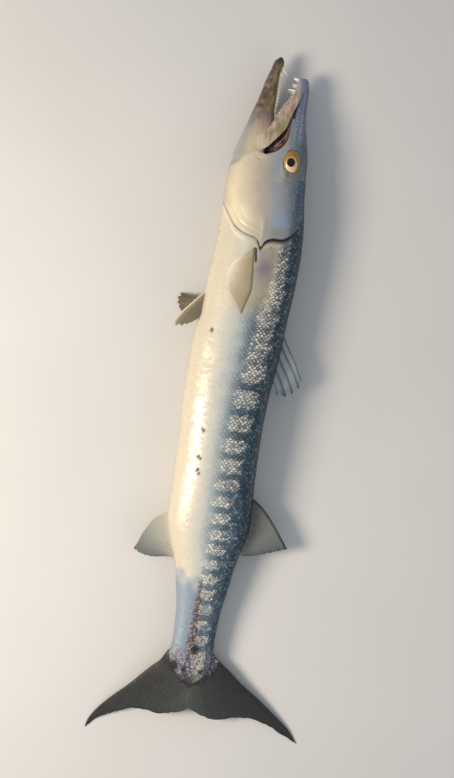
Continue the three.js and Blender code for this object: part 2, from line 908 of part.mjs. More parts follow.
const NODES = [
  ["head", makeHead(), "skin"],
  ["eye_left", eyeBall(1), "eye"],
  ["eye_right", eyeBall(-1), "eye"],
  ["gill_cover_left", gillCover(1), "gill"],
  ["gill_cover_right", gillCover(-1), "gill"],
  ["upper_jaw", makeUpperJaw(), "jaw"],
  ["lower_jaw", makeLowerJaw(), "jaw"],
  ["tongue", makeTongue(), "mouth"],
  ["torso_front", behind(slice(0, TORSO_SEAMS[0]), gillEdge), "skin"],
  ["torso_middle", slice(TORSO_SEAMS[0], TORSO_SEAMS[1]), "skin"],
  ["torso_rear", slice(TORSO_SEAMS[1], TORSO_SEAMS[2]), "skin"],
  ["tail_stalk", slice(TORSO_SEAMS[2], 1000), "skin"],
  ["tail_fin_upper_lobe", tailLobe(TAIL_LOBES.upper), "fin"],
  ["tail_fin_lower_lobe", tailLobe(TAIL_LOBES.lower), "fin"],
  ["first_dorsal_fin", makeFirstDorsal(), "fin"],
  ["second_dorsal_fin", makeSecondDorsal(), "fin"],
  ["anal_fin", makeAnal(), "pale_fin"],
  ["pectoral_fin_left", pectoral(PECTORAL.left, FIN_LIFT.left), "pale_fin"],
  ["pectoral_fin_right", pectoral(PECTORAL.right, FIN_LIFT.right), "pale_fin"],
  ["pelvic_fin_left", pelvic(PELVIC.left), "pale_fin"],
  ["pelvic_fin_right", pelvic(PELVIC.right), "pale_fin"],
];

function meshOf(name, solid, colour) {
  const { numProp, vertProperties, triVerts, numVert } = solid.getMesh();
  const positions = new Float32Array(numVert * 3);
  for (let i = 0; i < numVert; i++) {
    positions.set(vertProperties.subarray(i * numProp, i * numProp + 3), i * 3);
  }
  const geometry = new THREE.BufferGeometry();
  geometry.setAttribute("position", new THREE.BufferAttribute(positions, 3));
  geometry.setIndex(new THREE.BufferAttribute(new Uint32Array(triVerts), 1));
  geometry.computeVertexNormals();
  const material = new THREE.MeshStandardMaterial({
    color: COLOURS[colour],
    roughness: 0.35,
    metalness: 0,
  });
  const mesh = new THREE.Mesh(geometry, material);
  mesh.name = name;
  return mesh;
}

const barracuda = new THREE.Group();
for (const [name, solid, colour] of NODES) {
  barracuda.add(meshOf(name, largest(aboveFloor(solid)), colour));
}

// The origin is on the floor under the middle of the whole fish
const box = new THREE.Box3().setFromObject(barracuda);
const centre = box.getCenter(new THREE.Vector3());
barracuda.position.set(-centre.x, -centre.y, -box.min.z);

export default barracuda;
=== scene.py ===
"""The dressed model of a great barracuda, life size, lying on its right flank with its jaws open.

The fish's own measure is used throughout: millimetres, as (at, x, z), where at is the distance behind a
mark just inside the tip of the snout, x points to the back and z up to the left flank. metres() turns it to
the frame's own.
"""

import bpy
import mathutils
import numpy as np
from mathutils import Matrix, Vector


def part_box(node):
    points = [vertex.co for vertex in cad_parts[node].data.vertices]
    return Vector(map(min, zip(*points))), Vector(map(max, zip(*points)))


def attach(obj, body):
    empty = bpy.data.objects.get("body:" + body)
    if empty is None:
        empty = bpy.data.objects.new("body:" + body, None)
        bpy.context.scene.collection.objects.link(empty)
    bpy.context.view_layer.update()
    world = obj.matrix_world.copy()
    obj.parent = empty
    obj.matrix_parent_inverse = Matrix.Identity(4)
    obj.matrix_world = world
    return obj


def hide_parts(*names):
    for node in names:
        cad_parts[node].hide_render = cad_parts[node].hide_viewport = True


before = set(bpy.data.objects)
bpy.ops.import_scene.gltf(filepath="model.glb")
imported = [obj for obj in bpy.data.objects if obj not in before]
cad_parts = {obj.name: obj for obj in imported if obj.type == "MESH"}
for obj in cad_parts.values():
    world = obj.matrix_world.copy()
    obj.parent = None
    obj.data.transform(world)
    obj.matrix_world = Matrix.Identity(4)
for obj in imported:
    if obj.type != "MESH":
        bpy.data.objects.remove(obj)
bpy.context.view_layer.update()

MM = 0.001

# Where the fish's own measure lies in the frame, found from the middle length of the trunk
TRUNK_SEAM_AT = 400.15
LOWEST_BELLY_X = -62.3
trunk_low, trunk_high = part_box("torso_middle")
MARK_Y = trunk_high.y / MM + TRUNK_SEAM_AT
MIDLINE_X = trunk_low.x / MM - LOWEST_BELLY_X

random = np.random.default_rng(11)

# Camera
VIEW_HEIGHT = 1600.0  # over the middle of the fish
MIDDLE_LEVEL = 43.0
VIEW_AT = 462.0
VIEW_TALL = 1128.0  # what the picture's height covers at that level
VIEW_ROLL = 8.5  # degrees
SENSOR = 36.0

# The trunk: at, back line, belly line, half width, level of the middle, and how far the widest line sits
# towards the back as a share of the half depth
BODY = [
    (57.2, 55.8, -23.2, 19.0, 32.0, 0.3),
    (85.9, 60.7, -31.4, 25.0, 34.0, 0.3),
    (115.5, 66.7, -39.9, 30.5, 36.0, 0.25),
    (144.1, 68.2, -45.4, 34.6, 38.5, 0.18),
    (174.7, 70.7, -46.4, 37.4, 41.5, 0.12),
    (203.0, 73.9, -45.9, 38.8, 42.8, 0.06),
    (232.0, 77.0, -46.1, 39.4, 43.0, 0.02),
    (262.0, 77.8, -48.8, 40.2, 43.0, 0),
    (300.0, 76.4, -51.5, 41.2, 43.0, 0),
    (350.0, 72.2, -54.8, 42.5, 43.0, 0),
    (409.0, 68.4, -60.9, 43.9, 43.0, 0),
    (469.0, 61.9, -62.3, 43.9, 43.0, 0),
    (528.1, 59.2, -60.1, 42.6, 41.7, 0),
    (586.3, 59.8, -59.0, 40.0, 39.3, 0),
    (640.7, 62.5, -58.9, 36.4, 36.3, 0),
    (661.0, 62.3, -57.5, 34.2, 35.0, 0),
    (691.5, 55.4, -49.3, 30.0, 32.8, 0),
    (722.0, 49.0, -38.3, 25.8, 30.6, 0),
    (752.6, 44.6, -32.3, 22.0, 28.6, 0),
    (793.4, 38.4, -26.3, 18.0, 26.2, 0),
    (834.4, 36.4, -24.7, 14.4, 24.0, 0),
    (854.8, 38.1, -26.8, 11.5, 23.0, 0),
    (873.3, 34.4, -22.3, 7.8, 22.3, 0),
    (889.6, 26.3, -9.1, 5.0, 21.8, 0),
    (903.9, 13.2, 5.1, 2.6, 21.4, 0),
]
BODY_ROUNDNESS = 2.2  # 2 is an ellipse, more is boxier
# Over the gills the head is wider than the trunk beneath: at, half width
GILL_BULGE = [
    (57.2, 19.0), (115.5, 30.6), (144.1, 35.4), (159.4, 38.2), (174.7, 40.6), (203.0, 43.5),
    (232.0, 44.2), (262.0, 43.6),
]
# The snout above the open mouth, in the same columns as the trunk
SNOUT = [
    (6.0, 50.5, 46.0, 2.0, 28.4, 0.2),
    (10.4, 53.9, 43.4, 7.0, 28.7, 0.2),
    (26.4, 54.6, 39.3, 9.6, 29.8, 0.2),
    (43.9, 54.8, 36.6, 13.0, 31.0, 0.2),
    (57.2, 55.8, 36.0, 16.0, 32.0, 0.2),
    (72.6, 58.0, 35.4, 18.8, 33.0, 0.2),
    (87.9, 60.4, 34.0, 21.0, 34.1, 0.2),
    (103.3, 63.2, 32.0, 23.0, 35.2, 0.2),
]
SNOUT_ROUNDNESS = 2.6
# The lower jaw, dropped open: at, tooth line, throat line, half width, level of the middle, widest line
LOWER_JAW = [
    (-29.2, 9.1, 4.0, 2.2, 26.0, 0.2),
    (-23.0, 12.5, -1.8, 5.0, 26.4, 0.3),
    (-9.6, 9.7, -5.5, 7.4, 27.3, 0.4),
    (5.9, 9.1, -10.3, 9.6, 28.4, 0.4),
    (22.3, 9.5, -14.1, 12.2, 29.5, 0.4),
    (37.7, 10.1, -17.7, 15.0, 30.6, 0.4),
    (51.1, 10.3, -22.0, 17.2, 31.5, 0.4),
    (68.5, 12.1, -26.6, 19.2, 32.7, 0.45),
    (84.9, 13.1, -31.6, 21.4, 33.9, 0.55),
    (100.2, 8.0, -36.4, 23.6, 34.9, 0.7),
    (118.0, 2.0, -41.0, 24.6, 36.0, 0.85),
    (128.0, -2.0, -43.1, 24.6, 37.0, 0.85),
    (146.0, -6.0, -44.8, 24.0, 38.6, 0.9),
]
JAW_ROUNDNESS = 2.4
JAW_WALL = 4.2  # thickness of the trough's sides
JAW_FLOOR = 7.5  # and of its floor
JAW_LIP = 0.62  # the turn from the back at which the trough's outside ends in its lip
# The upper jaw's sections, which reach past the outline of its blades
UPPER_JAW = [
    (-4.4, 50.3, 38.8, 4.4, 27.8, 0),
    (1.8, 52.5, 34.3, 6.8, 28.2, 0),
    (10.0, 53.9, 28.3, 8.8, 28.7, 0),
    (26.4, 60.5, 17.1, 12.0, 29.8, 0),
    (41.8, 62.5, 2.0, 15.6, 30.9, 0),
    (57.2, 64.4, -12.1, 19.4, 32.0, 0),
    (72.6, 64.4, -26.2, 23.0, 33.0, 0),
    (87.9, 62.3, -40.2, 25.6, 34.0, 0),
    (103.2, 60.3, -44.2, 27.2, 35.1, 0),
    (116.5, 60.3, -46.2, 28.0, 36.0, 0),
]
UPPER_ROUNDNESS = 3
BLADE_THICK = 3.2
SOLID_TIP = 11  # ahead of this the two blades are one
# Edges of an upper jaw blade on the side view, [at, x], both from the tip to the rear end
TOOTH_EDGE = [
    (-3.1, 38.8), (3.7, 36.2), (20.5, 33.5), (35.9, 27.2), (44.8, 21.1), (56.8, 15.3), (68.6, 9.6),
    (79.4, 2.4), (91.1, -4.6), (100.5, -6.0), (107.5, -3.6), (112.6, 2.0),
]
SLIT_EDGE = [
    (-3.1, 49.8), (1.4, 52.7), (12.5, 53.2), (20.0, 47.5), (36.6, 42.0), (51.8, 36.6), (66.7, 32.7),
    (77.0, 30.0), (85.0, 25.4), (93.0, 19.8), (101.0, 13.6), (108.5, 7.6), (112.6, 2.0),
]
# The roof of the mouth between the blades, in the trunk's columns
PALATE = [
    (8.0, 48.0, 44.0, 1.5, 28.6, 0),
    (26.4, 46.0, 36.5, 5.6, 29.8, 0),
    (41.8, 46.0, 31.5, 8.0, 30.9, 0),
    (57.2, 46.0, 25.5, 10.4, 32.0, 0),
    (72.6, 47.0, 17.0, 12.4, 33.0, 0),
    (87.9, 48.0, 8.0, 14.0, 34.0, 0),
    (103.2, 48.0, 2.0, 15.6, 35.1, 0),
    (128.0, 44.0, -2.0, 17.0, 36.6, 0),
]
PALATE_ROUNDNESS = 2.4
# Line behind the open mouth, from the throat to the snout, [at, x]
MOUTH_BACK = [
    (122.3, -59.1), (121.3, -37.4), (118.0, -14.0), (116.6, -3.0), (120.6, 4.4), (119.0, 10.8),
    (113.2, 21.6), (102.5, 30.6), (90.0, 34.6), (75.1, 36.2), (48.1, 39.3), (18.9, 60.1),
]
HEAD_FRONT = 60.0  # the snout takes over ahead of this
SNOUT_REAR = 103.0  # the snout's table isn't read behind this
# Rear edge of the gill covers, from the throat round the flap to the nape, [at, x]
GILL_EDGE = [
    (179.8, -70.1), (187.8, -52.0), (206.0, -39.5), (222.6, -28.5), (232.0, -20.5), (239.8, -6.2),
    (243.6, 7.0), (249.5, 13.2), (257.5, 17.2), (252.0, 20.3), (247.2, 23.5), (243.0, 32.0),
    (241.3, 47.0), (233.5, 58.0), (221.5, 65.5), (204.7, 71.5), (189.9, 95.0),
]
# The seam between cheek and gill cover
COVER_FRONT = [
    (200.0, 61.1), (176.4, 55.1), (163.6, 39.3), (160.4, 17.6), (164.2, -5.9), (173.1, -25.5),
    (184.5, -41.6),
]
# The eye: place, half sizes, how deep its middle lies under the cheek, and how far it turns to the back
EYE_AT = 132.0
EYE_X = 43.4
EYE_LONG = 21.6
EYE_TALL = 13.9
EYE_DEEP = 9.0
EYE_SUNK = 5.0
EYE_TILT = 0.33  # radians
# In the eye, from its middle: at, x, half length and half height of the pupil, and of the iris's inner ring
PUPIL = (-2.4, -4.0, 6.8, 6.0)
IRIS_RING = (0.2, -2.4, 11.0, 8.6)

# The tail: its height over the floor at root and tips, its fork, and both front edges, [at, x]
TAIL_LEVEL = 21.8
TIP_LEVEL = 0.9
FORK = (934.6, 12.7)
UPPER_REACH = 168.0  # from the fork's line out to the tip
LOWER_REACH = 148.0
TAIL_THICK = 4.0
LOBES_MEET = 1.2  # how far each lobe runs past the middle, where the two grow together
UPPER_LEAD = [
    (846, 33), (851.2, 40.3), (860.5, 49.2), (873.3, 66), (887.7, 83.1), (899.3, 99.7), (911, 116.4),
    (924.2, 133.5), (937.5, 150.6), (949.5, 164.5), (960.7, 173.7), (969.9, 180.5),
]
LOWER_LEAD = [
    (849, -22), (854.2, -29.1), (870.8, -38.5), (883.7, -51.6), (898.1, -64.6), (912.6, -77.5),
    (925.7, -90.7), (939, -104), (953.8, -117.1), (968, -127.3), (979.8, -133.2), (990.8, -135.4),
]
# The line on the roots of the tail's lobes where the scales run out: x, at
SCALED_TO = [
    (-34.0, 858.0), (-28.0, 868.0), (-13.0, 892.0), (5.0, 899.0), (25.0, 896.0), (42.0, 876.0),
    (50.0, 858.0),
]
STALK_END = 903.9
COAT_DEPTH = 0.45  # the skin lies this far inside the solids, and the scales fill it


# Lines and curves

def profile(rows, column):
    """A smooth curve through one column of a table that never overshoots its values"""
    t = np.array([r[0] for r in rows], float)
    v = np.array([r[column] for r in rows], float)
    slope = np.diff(v) / np.diff(t)
    tangent = np.zeros(len(v))
    tangent[0] = slope[0]
    tangent[-1] = slope[-1]
    before, after = slope[:-1], slope[1:]
    same = before * after > 0
    tangent[1:-1][same] = (2 * before * after)[same] / (before + after)[same]

    def value(at):
        x = np.clip(at, t[0], t[-1])
        i = np.clip(np.searchsorted(t, x, side="right") - 1, 0, len(t) - 2)
        h = t[i + 1] - t[i]
        u = (x - t[i]) / h
        return (
            v[i] * (1 + 2 * u) * (1 - u) ** 2
            + h * tangent[i] * u * (1 - u) ** 2
            + v[i + 1] * u * u * (3 - 2 * u)
            + h * tangent[i + 1] * u * u * (u - 1)
        )

    return value


def curve(points, samples=400):
    """A smooth line through points; what it returns gives the place at a share of the line's length"""
    p = np.array(points, float)
    ends = np.vstack([2 * p[0] - p[1], p, 2 * p[-1] - p[-2]])
    u = np.linspace(0, len(p) - 1, samples)
    i = np.minimum(u.astype(int), len(p) - 2)
    f = (u - i)[:, None]
    a, b, c, d = ends[i], ends[i + 1], ends[i + 2], ends[i + 3]
    line = 0.5 * (
        2 * b + (c - a) * f + (2 * a - 5 * b + 4 * c - d) * f**2 + (3 * b - a - 3 * c + d) * f**3
    )
    run = np.concatenate([[0], np.cumsum(np.linalg.norm(np.diff(line, axis=0), axis=1))])
    run /= run[-1]

    def place(share):
        return np.stack([np.interp(share, run, line[:, k]) for k in range(p.shape[1])], -1)

    return place


def smoothstep(low, high, x):
    t = np.clip((x - low) / (high - low), 0, 1)
    return t * t * (3 - 2 * t)


def bump(x, middle, spread):
    return np.exp(-(((x - middle) / spread) ** 2))


def read_off(table, at, column=1):
    """A value read off a table by straight lines between its rows"""
    rows = np.array(table, float)
    return np.interp(at, rows[:, 0], rows[:, column])


def distance_to(line, at, x, samples=260):
    """Distance on the side view from each place to a line"""
    nearest = np.full(at.shape, 1e9)
    for line_at, line_x in line(np.linspace(0, 1, samples)):
        nearest = np.minimum(nearest, np.hypot(at - line_at, x - line_x))
    return nearest


# Sections

def section(rows, roundness):
    """Sections along a table: gives x and z at a place along and a turn from the back over the left flank"""
    back, belly, wide, level, lean = (profile(rows, c) for c in range(1, 6))

    def at_turn(at, turn, width=None, wall=0.0, floor=0.0):
        top = back(at)
        low = belly(at) + floor
        middle = (back(at) + belly(at)) / 2
        widest = middle + lean(at) * (back(at) - belly(at)) / 2
        c = np.cos(turn)
        q = np.sin(turn)
        reach = np.where(c > 0, top - widest, np.maximum(widest - low, 1.0))
        half = np.maximum((wide(at) if width is None else width) - wall, 0.8)
        x = widest + np.sign(c) * reach * np.abs(c) ** (2 / roundness)
        z = level(at) + np.sign(q) * half * np.abs(q) ** (2 / roundness)
        return x, z

    def flank(at, x, side):
        """Height over the floor of the left (1) or right (-1) flank at a place on the side view"""
        widest = (back(at) + belly(at)) / 2 + lean(at) * (back(at) - belly(at)) / 2
        reach = np.where(x > widest, back(at) - widest, widest - belly(at))
        out = np.minimum(np.abs(x - widest) / reach, 0.999)
        return level(at) + side * wide(at) * (1 - out**roundness) ** (1 / roundness)

    at_turn.flank = flank
    at_turn.wide = wide
    at_turn.level = level
    at_turn.back = back
    at_turn.belly = belly
    return at_turn


trunk = section(BODY, BODY_ROUNDNESS)
snout = section(SNOUT, SNOUT_ROUNDNESS)
lower = section(LOWER_JAW, JAW_ROUNDNESS)
upper = section(UPPER_JAW, UPPER_ROUNDNESS)
palate = section(PALATE, PALATE_ROUNDNESS)
bulged = profile(GILL_BULGE, 1)

# Even steps round the trunk: the turn that lies a given share of the girth from the back
GIRTH_ATS = np.linspace(HEAD_FRONT, STALK_END, 423)
GIRTH_SHARES = np.linspace(0, 1, 241)


def girth_table():
    turns = np.linspace(0, 2 * np.pi, 721)
    table = []
    for at in GIRTH_ATS:
        x, z = trunk(at, turns)
        run = np.concatenate([[0], np.cumsum(np.hypot(np.diff(x), np.diff(z)))])
        table.append(np.interp(GIRTH_SHARES, run / run[-1], turns))
    return np.array(table)


TURNS = girth_table()


def turn_at(at, share):
    """The turn at a place along and a share of the girth, between the entries of the table"""
    share = np.mod(share, 1.0)
    i = np.clip((at - GIRTH_ATS[0]) / (GIRTH_ATS[1] - GIRTH_ATS[0]), 0, len(GIRTH_ATS) - 1.001)
    j = np.clip(share * (len(GIRTH_SHARES) - 1), 0, len(GIRTH_SHARES) - 1.001)
    i0, j0 = i.astype(int), j.astype(int)
    fi, fj = i - i0, j - j0
    near = TURNS[i0, j0] * (1 - fj) + TURNS[i0, j0 + 1] * fj
    far = TURNS[i0 + 1, j0] * (1 - fj) + TURNS[i0 + 1, j0 + 1] * fj
    return near * (1 - fi) + far * fi


gill_line = curve(GILL_EDGE)
cover_line = curve(COVER_FRONT)
GILL_STEPS = gill_line(np.linspace(0, 1, 300))
MOUTH_STEPS = curve(MOUTH_BACK)(np.linspace(0, 1, 300))
NAPE_LOW = 52.0  # above this the gill opening closes into the nape
NAPE_HIGH = 64.0  # and above this it is closed
LIP_SWELL = 42.0  # the cover swells to its full width over this length ahead of its edge
LIP_LEAST = 0.22  # and keeps this share of its swell at the edge
CHEEK_TUCK = 3.2  # the cheek draws in by this much where it meets the lower jaw


def gill_edge_at(x):
    return np.interp(x, GILL_STEPS[:, 1], GILL_STEPS[:, 0])


def mouth_edge_at(x):
    return np.maximum(np.interp(x, MOUTH_STEPS[:, 1], MOUTH_STEPS[:, 0]), HEAD_FRONT)


def opening(x):
    """1 where the gill cover has a free edge, 0 at the nape where head and trunk are one"""
    return 1 - smoothstep(NAPE_LOW, NAPE_HIGH, x)


def head_width(at, x):
    """Half width of the head: the cover swells, and the front runs flush into snout and lower jaw"""
    ahead = gill_edge_at(x) - at
    swell = LIP_LEAST + (1 - LIP_LEAST) * smoothstep(0, LIP_SWELL, ahead)
    wide = trunk.wide(at) + (bulged(at) - trunk.wide(at)) * swell * opening(x)
    to_snout = smoothstep(34, 41, x) * (1 - smoothstep(62, 112, at))
    wide = wide + (snout.wide(np.minimum(at, SNOUT_REAR)) - wide) * to_snout
    to_jaw = (1 - smoothstep(-4, 9, x)) * (1 - smoothstep(0, 30, at - mouth_edge_at(x)))
    return wide - CHEEK_TUCK * to_jaw


# What each face of the skin belongs to
FORMS = ("flesh", "nose", "jaw", "blade", "lining")


def tag(made, forms):
    """Marks the form of each face, by its place in FORMS, as a stand-in material"""
    for name in FORMS:
        stand_in = bpy.data.materials.get(name) or bpy.data.materials.new(name)
        made.data.materials.append(stand_in)
    count = len(made.data.polygons)
    which = np.full(count, forms) if np.isscalar(forms) else np.asarray(forms)
    made.data.polygons.foreach_set("material_index", which.astype(np.int32))
    return made


def form_shares(mesh):
    """For each form, the share of the faces round every point that belong to it; then the mesh's edges"""
    count = len(mesh.vertices)
    corner_vertex = np.zeros(len(mesh.loops), np.int64)
    mesh.loops.foreach_get("vertex_index", corner_vertex)
    sizes = np.zeros(len(mesh.polygons), np.int64)
    mesh.polygons.foreach_get("loop_total", sizes)
    which = np.zeros(len(mesh.polygons), np.int64)
    mesh.polygons.foreach_get("material_index", which)
    names = [m.name for m in mesh.materials]
    of_corner = np.repeat(which, sizes)
    total = np.maximum(np.bincount(corner_vertex, minlength=count), 1)
    shares = {name: np.zeros(count) for name in FORMS}
    for index, name in enumerate(names):
        shares[name] += np.bincount(corner_vertex, of_corner == index, count) / total
    edges = np.zeros(len(mesh.edges) * 2, np.int64)
    mesh.edges.foreach_get("vertices", edges)
    return shares, edges.reshape(-1, 2)


def surface(at, share, on_head=None):
    """Places on the outside of the fish, before folds and scales"""
    turn = turn_at(at, share)
    x, z = trunk(at, turn)
    covered = at < gill_edge_at(x) if on_head is None else on_head
    width = np.where(covered, head_width(at, x), trunk.wide(at))
    x, z = trunk(at, turn, width)
    return np.stack([at, x, z], -1)


NORMAL_STEP = 0.6
USUAL_GIRTH = 240.0


def lifted(at, share, lift, on_head=None):
    """Places on the outside of the fish, moved out along its normal"""
    step = NORMAL_STEP
    share_step = step / USUAL_GIRTH
    here = surface(at, share, on_head)
    along = surface(at + step, share, on_head) - surface(at - step, share, on_head)
    across = surface(at, share + share_step, on_head) - surface(at, share - share_step, on_head)
    normal = np.cross(across, along)
    normal /= np.maximum(np.linalg.norm(normal, axis=-1, keepdims=True), 1e-9)
    return here + normal * np.asarray(lift)[..., None]


def tail_lie(x):
    """Height of the tail over the floor: its tips droop until they rest there"""
    reach = np.where(x > FORK[1], UPPER_REACH, LOWER_REACH)
    drop = np.minimum(np.abs(x - FORK[1]) / reach, 1) ** 1.2
    return TAIL_LEVEL - (TAIL_LEVEL - TIP_LEVEL) * drop


# Meshes

def metres(points):
    return np.column_stack([points[:, 1] + MIDLINE_X, MARK_Y - points[:, 0], points[:, 2]]) * MM


def grid(rows, columns, closed=False):
    """Faces over a grid of points, joined into a ring when closed"""
    r = np.arange(rows - 1)[:, None]
    c = np.arange(columns if closed else columns - 1)[None, :]
    a = r * columns + c
    b = r * columns + (c + 1) % columns
    return np.stack([a, b, b + columns, a + columns], -1).reshape(-1, 4)


def tube(rings):
    """A closed skin over rings of points, with a fan over each end"""
    rows, columns = rings.shape[:2]
    points = np.concatenate([rings.reshape(-1, 3), [rings[0].mean(0)], [rings[-1].mean(0)]])
    i = np.arange(columns)
    j = (i + 1) % columns
    last = (rows - 1) * columns
    front = np.stack([j, i, np.full(columns, rows * columns)], -1)
    rear = np.stack([i + last, j + last, np.full(columns, rows * columns + 1)], -1)
    return points, [grid(rows, columns, True), np.concatenate([front, rear])]


def slab(front, back):
    """A closed sheet between two grids of points"""
    rows, columns = front.shape[:2]
    count = rows * columns
    points = np.concatenate([front.reshape(-1, 3), back.reshape(-1, 3)])
    near = grid(rows, columns)
    top = np.arange(columns)
    right = np.arange(1, rows) * columns + columns - 1
    bottom = np.arange(columns - 2, -1, -1) + (rows - 1) * columns
    left = np.arange(rows - 2, 0, -1) * columns
    rim = np.concatenate([top, right, bottom, left])
    after = np.roll(rim, -1)
    edge = np.stack([rim, rim + count, after + count, after], -1)
    return points, [near, near[:, ::-1] + count, edge]


def outward(points, faces):
    """Faces turned so that a closed skin faces out"""
    volume = 0.0
    for f in faces:
        p = points[f]
        for k in range(1, f.shape[1] - 1):
            volume += np.einsum("ij,ij->", p[:, 0], np.cross(p[:, k], p[:, k + 1]))
    return faces if volume > 0 else [f[:, ::-1] for f in faces]


def mesh_object(name, points, faces, smooth=True):
    """An object from places in the fish's measure and a list of arrays of faces"""
    co = metres(points)
    faces = outward(co, faces)
    mesh = bpy.data.meshes.new(name)
    mesh.vertices.add(len(co))
    mesh.vertices.foreach_set("co", co.astype(np.float32).ravel())
    corners = np.concatenate([f.ravel() for f in faces])
    sizes = np.concatenate([np.full(len(f), f.shape[1]) for f in faces])
    mesh.loops.add(len(corners))
    mesh.loops.foreach_set("vertex_index", corners.astype(np.int32))
    mesh.polygons.add(len(sizes))
    starts = np.concatenate([[0], np.cumsum(sizes)[:-1]])
    mesh.polygons.foreach_set("loop_start", starts.astype(np.int32))
    mesh.polygons.foreach_set("use_smooth", np.full(len(sizes), smooth))
    mesh.update(calc_edges=True)
    made = bpy.data.objects.new(name, mesh)
    bpy.context.scene.collection.objects.link(made)
    return made


def write(made, **values):
    """Stores numbers on the points of a mesh for its material to read"""
    for name, value in values.items():
        layer = made.data.attributes.new(name, "FLOAT", "POINT")
        layer.data.foreach_set("value", np.asarray(value, np.float32).ravel())


def read_points(made):
    """A mesh's points in the fish's measure"""
    co = np.zeros(len(made.data.vertices) * 3)
    made.data.vertices.foreach_get("co", co)
    co = co.reshape(-1, 3) / MM
    return np.column_stack([MARK_Y - co[:, 1], co[:, 0] - MIDLINE_X, co[:, 2]])


def move_points(made, points):
    """Moves a mesh's points to places in the fish's measure, none of them under the floor"""
    points = points.copy()
    points[:, 2] = np.maximum(points[:, 2], 0.0)
    made.data.vertices.foreach_set("co", metres(points).astype(np.float32).ravel())
    made.data.update()


def joined(made, others, operation):
    """Joins or cuts closed meshes for good, and removes the ones used up"""
    group = bpy.data.collections.new("used")
    bpy.context.scene.collection.children.link(group)
    for other in others:
        group.objects.link(other)
    cut = made.modifiers.new("cut", "BOOLEAN")
    cut.operand_type = "COLLECTION"
    cut.collection = group
    cut.operation = operation
    cut.solver = "MANIFOLD"
    shown = made.evaluated_get(bpy.context.evaluated_depsgraph_get())
    result = bpy.data.meshes.new_from_object(shown)
    made.modifiers.clear()
    made.data = result
    for other in others:
        bpy.data.objects.remove(other)
    bpy.data.collections.remove(group)
    return made


def finish_piece(made, slot, material, *nodes):
    made.data.materials.clear()
    made.data.materials.append(material)
    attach(made, "root")
    if nodes:
        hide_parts(*nodes)
    return made


# Materials

def linear(hex_colour):
    """An sRGB hex colour as the linear colour that a node holds"""
    parts = [int(hex_colour[i : i + 2], 16) / 255 for i in (1, 3, 5)]
    return tuple(c / 12.92 if c <= 0.04045 else ((c + 0.055) / 1.055) ** 2.4 for c in parts) + (1,)


def add(tree, kind, sockets=None, stops=None, **settings):
    """One node, with its settings and with each named socket given a value, a colour or a link"""
    made = tree.nodes.new("ShaderNode" + kind)
    for name, value in settings.items():
        setattr(made, name, value)
    for socket, value in (sockets or {}).items():
        if isinstance(value, bpy.types.NodeSocket):
            tree.links.new(value, made.inputs[socket])
        elif isinstance(value, str):
            made.inputs[socket].default_value = linear(value)
        else:
            made.inputs[socket].default_value = value
    if stops:
        ramp = made.color_ramp.elements
        while len(ramp) < len(stops):
            ramp.new(0.5)
        for element, (position, colour) in zip(ramp, stops):
            element.position = position
            element.color = linear(colour) if isinstance(colour, str) else (colour,) * 3 + (1,)
    return made


def material(name, **finish):
    """A new material: its tree and its surface shader, with the finish that is the same all over"""
    made = bpy.data.materials.new(name)
    made.use_nodes = True
    tree = made.node_tree
    tree.nodes.clear()
    shader = add(tree, "BsdfPrincipled", finish)
    add(tree, "OutputMaterial", {"Surface": shader.outputs[0]})
    return made, tree, shader


# Patterns, in lumps a metre, with their size on the fish
PIGMENT = 55.0  # clouds of pigment, 18 mm
PATCHY = 120.0  # patches on jaws and lining, 8 mm
VEINS = 320.0  # small vessels under thin skin, 3 mm
SPARKS = 420.0  # glints that break up the flecks, 2.4 mm
FRECKLES = 650.0  # freckles on the snout, 1.5 mm
PORES = 900.0  # the skin's own grain, drawn at 1.1 mm so that it shows
STREAKS = (260.0, 26.0, 260.0)  # streaks along the jaws, 4 mm wide and 38 mm long
MEMBRANE = 90.0  # cloudy membrane, 11 mm
IRIS_FLECKS = 300.0  # 3 mm
ENAMEL = 600.0  # 1.7 mm
PAPILLAE = 160.0  # bumps on the tongue, 6 mm
RINGS = 46.0  # growth rings, in radians over a scale's length: one each 1.6 mm, so that they show
PAPER = 3.0  # faint clouds in the paper under the fish, 330 mm

# Flank colours from the belly line (0) to the back line (1), dark between the bright flecks
TRUNK_STOPS = [
    (0.0, "#cdc4b2"), (0.10, "#ded3bd"), (0.22, "#e0d5bd"), (0.36, "#dfd8c6"), (0.44, "#d2d3cb"),
    (0.50, "#b9c2c3"), (0.56, "#90a0a7"), (0.62, "#667984"), (0.70, "#445a69"), (0.78, "#2b4457"),
    (0.88, "#1b3346"), (1.0, "#132636"),
]
# The grey at the head's belly line is painted shade on the throat
HEAD_STOPS = [
    (0.0, "#a8a49f"), (0.12, "#cbbfa8"), (0.24, "#e6d7b8"), (0.36, "#d6c9b0"), (0.46, "#bdb29f"),
    (0.56, "#a7a6a3"), (0.66, "#989da2"), (0.74, "#74818b"), (0.82, "#465d71"), (0.90, "#2c4359"),
    (1.0, "#1a2c3d"),
]
STALK_STOPS = [
    (0.0, "#8794a1"), (0.20, "#98a9b8"), (0.42, "#90a2b2"), (0.54, "#7b8e9e"), (0.66, "#5f788a"),
    (0.80, "#3b5365"), (1.0, "#1b2f3d"),
]
# Flecks are cream white in the bright patches and blue grey between them, and the gaps are brown or blue;
# the flecks are the scales' silvery middles, brightened with painted glints
FLECK_STOPS = [(0.1, "#8fabb7"), (0.3, "#e8ebe3"), (0.55, "#fffaec")]
GAP_STOPS = [(0.1, "#172530"), (0.5, "#37291f")]
BLOOD_STOPS = [(0.38, "#3f2a25"), (0.52, "#6f5040"), (0.64, "#a58f8a")]
ROSY_STOPS = [(0.40, "#4b3e47"), (0.52, "#7f6f7b"), (0.66, "#cfc3ca")]
IRIS_STOPS = [
    (0.34, "#f0c6a0"), (0.45, "#f6d6b0"), (0.50, "#d0a062"), (0.58, "#a8833f"), (0.74, "#87723c"),
    (0.95, "#5d5438"),
]


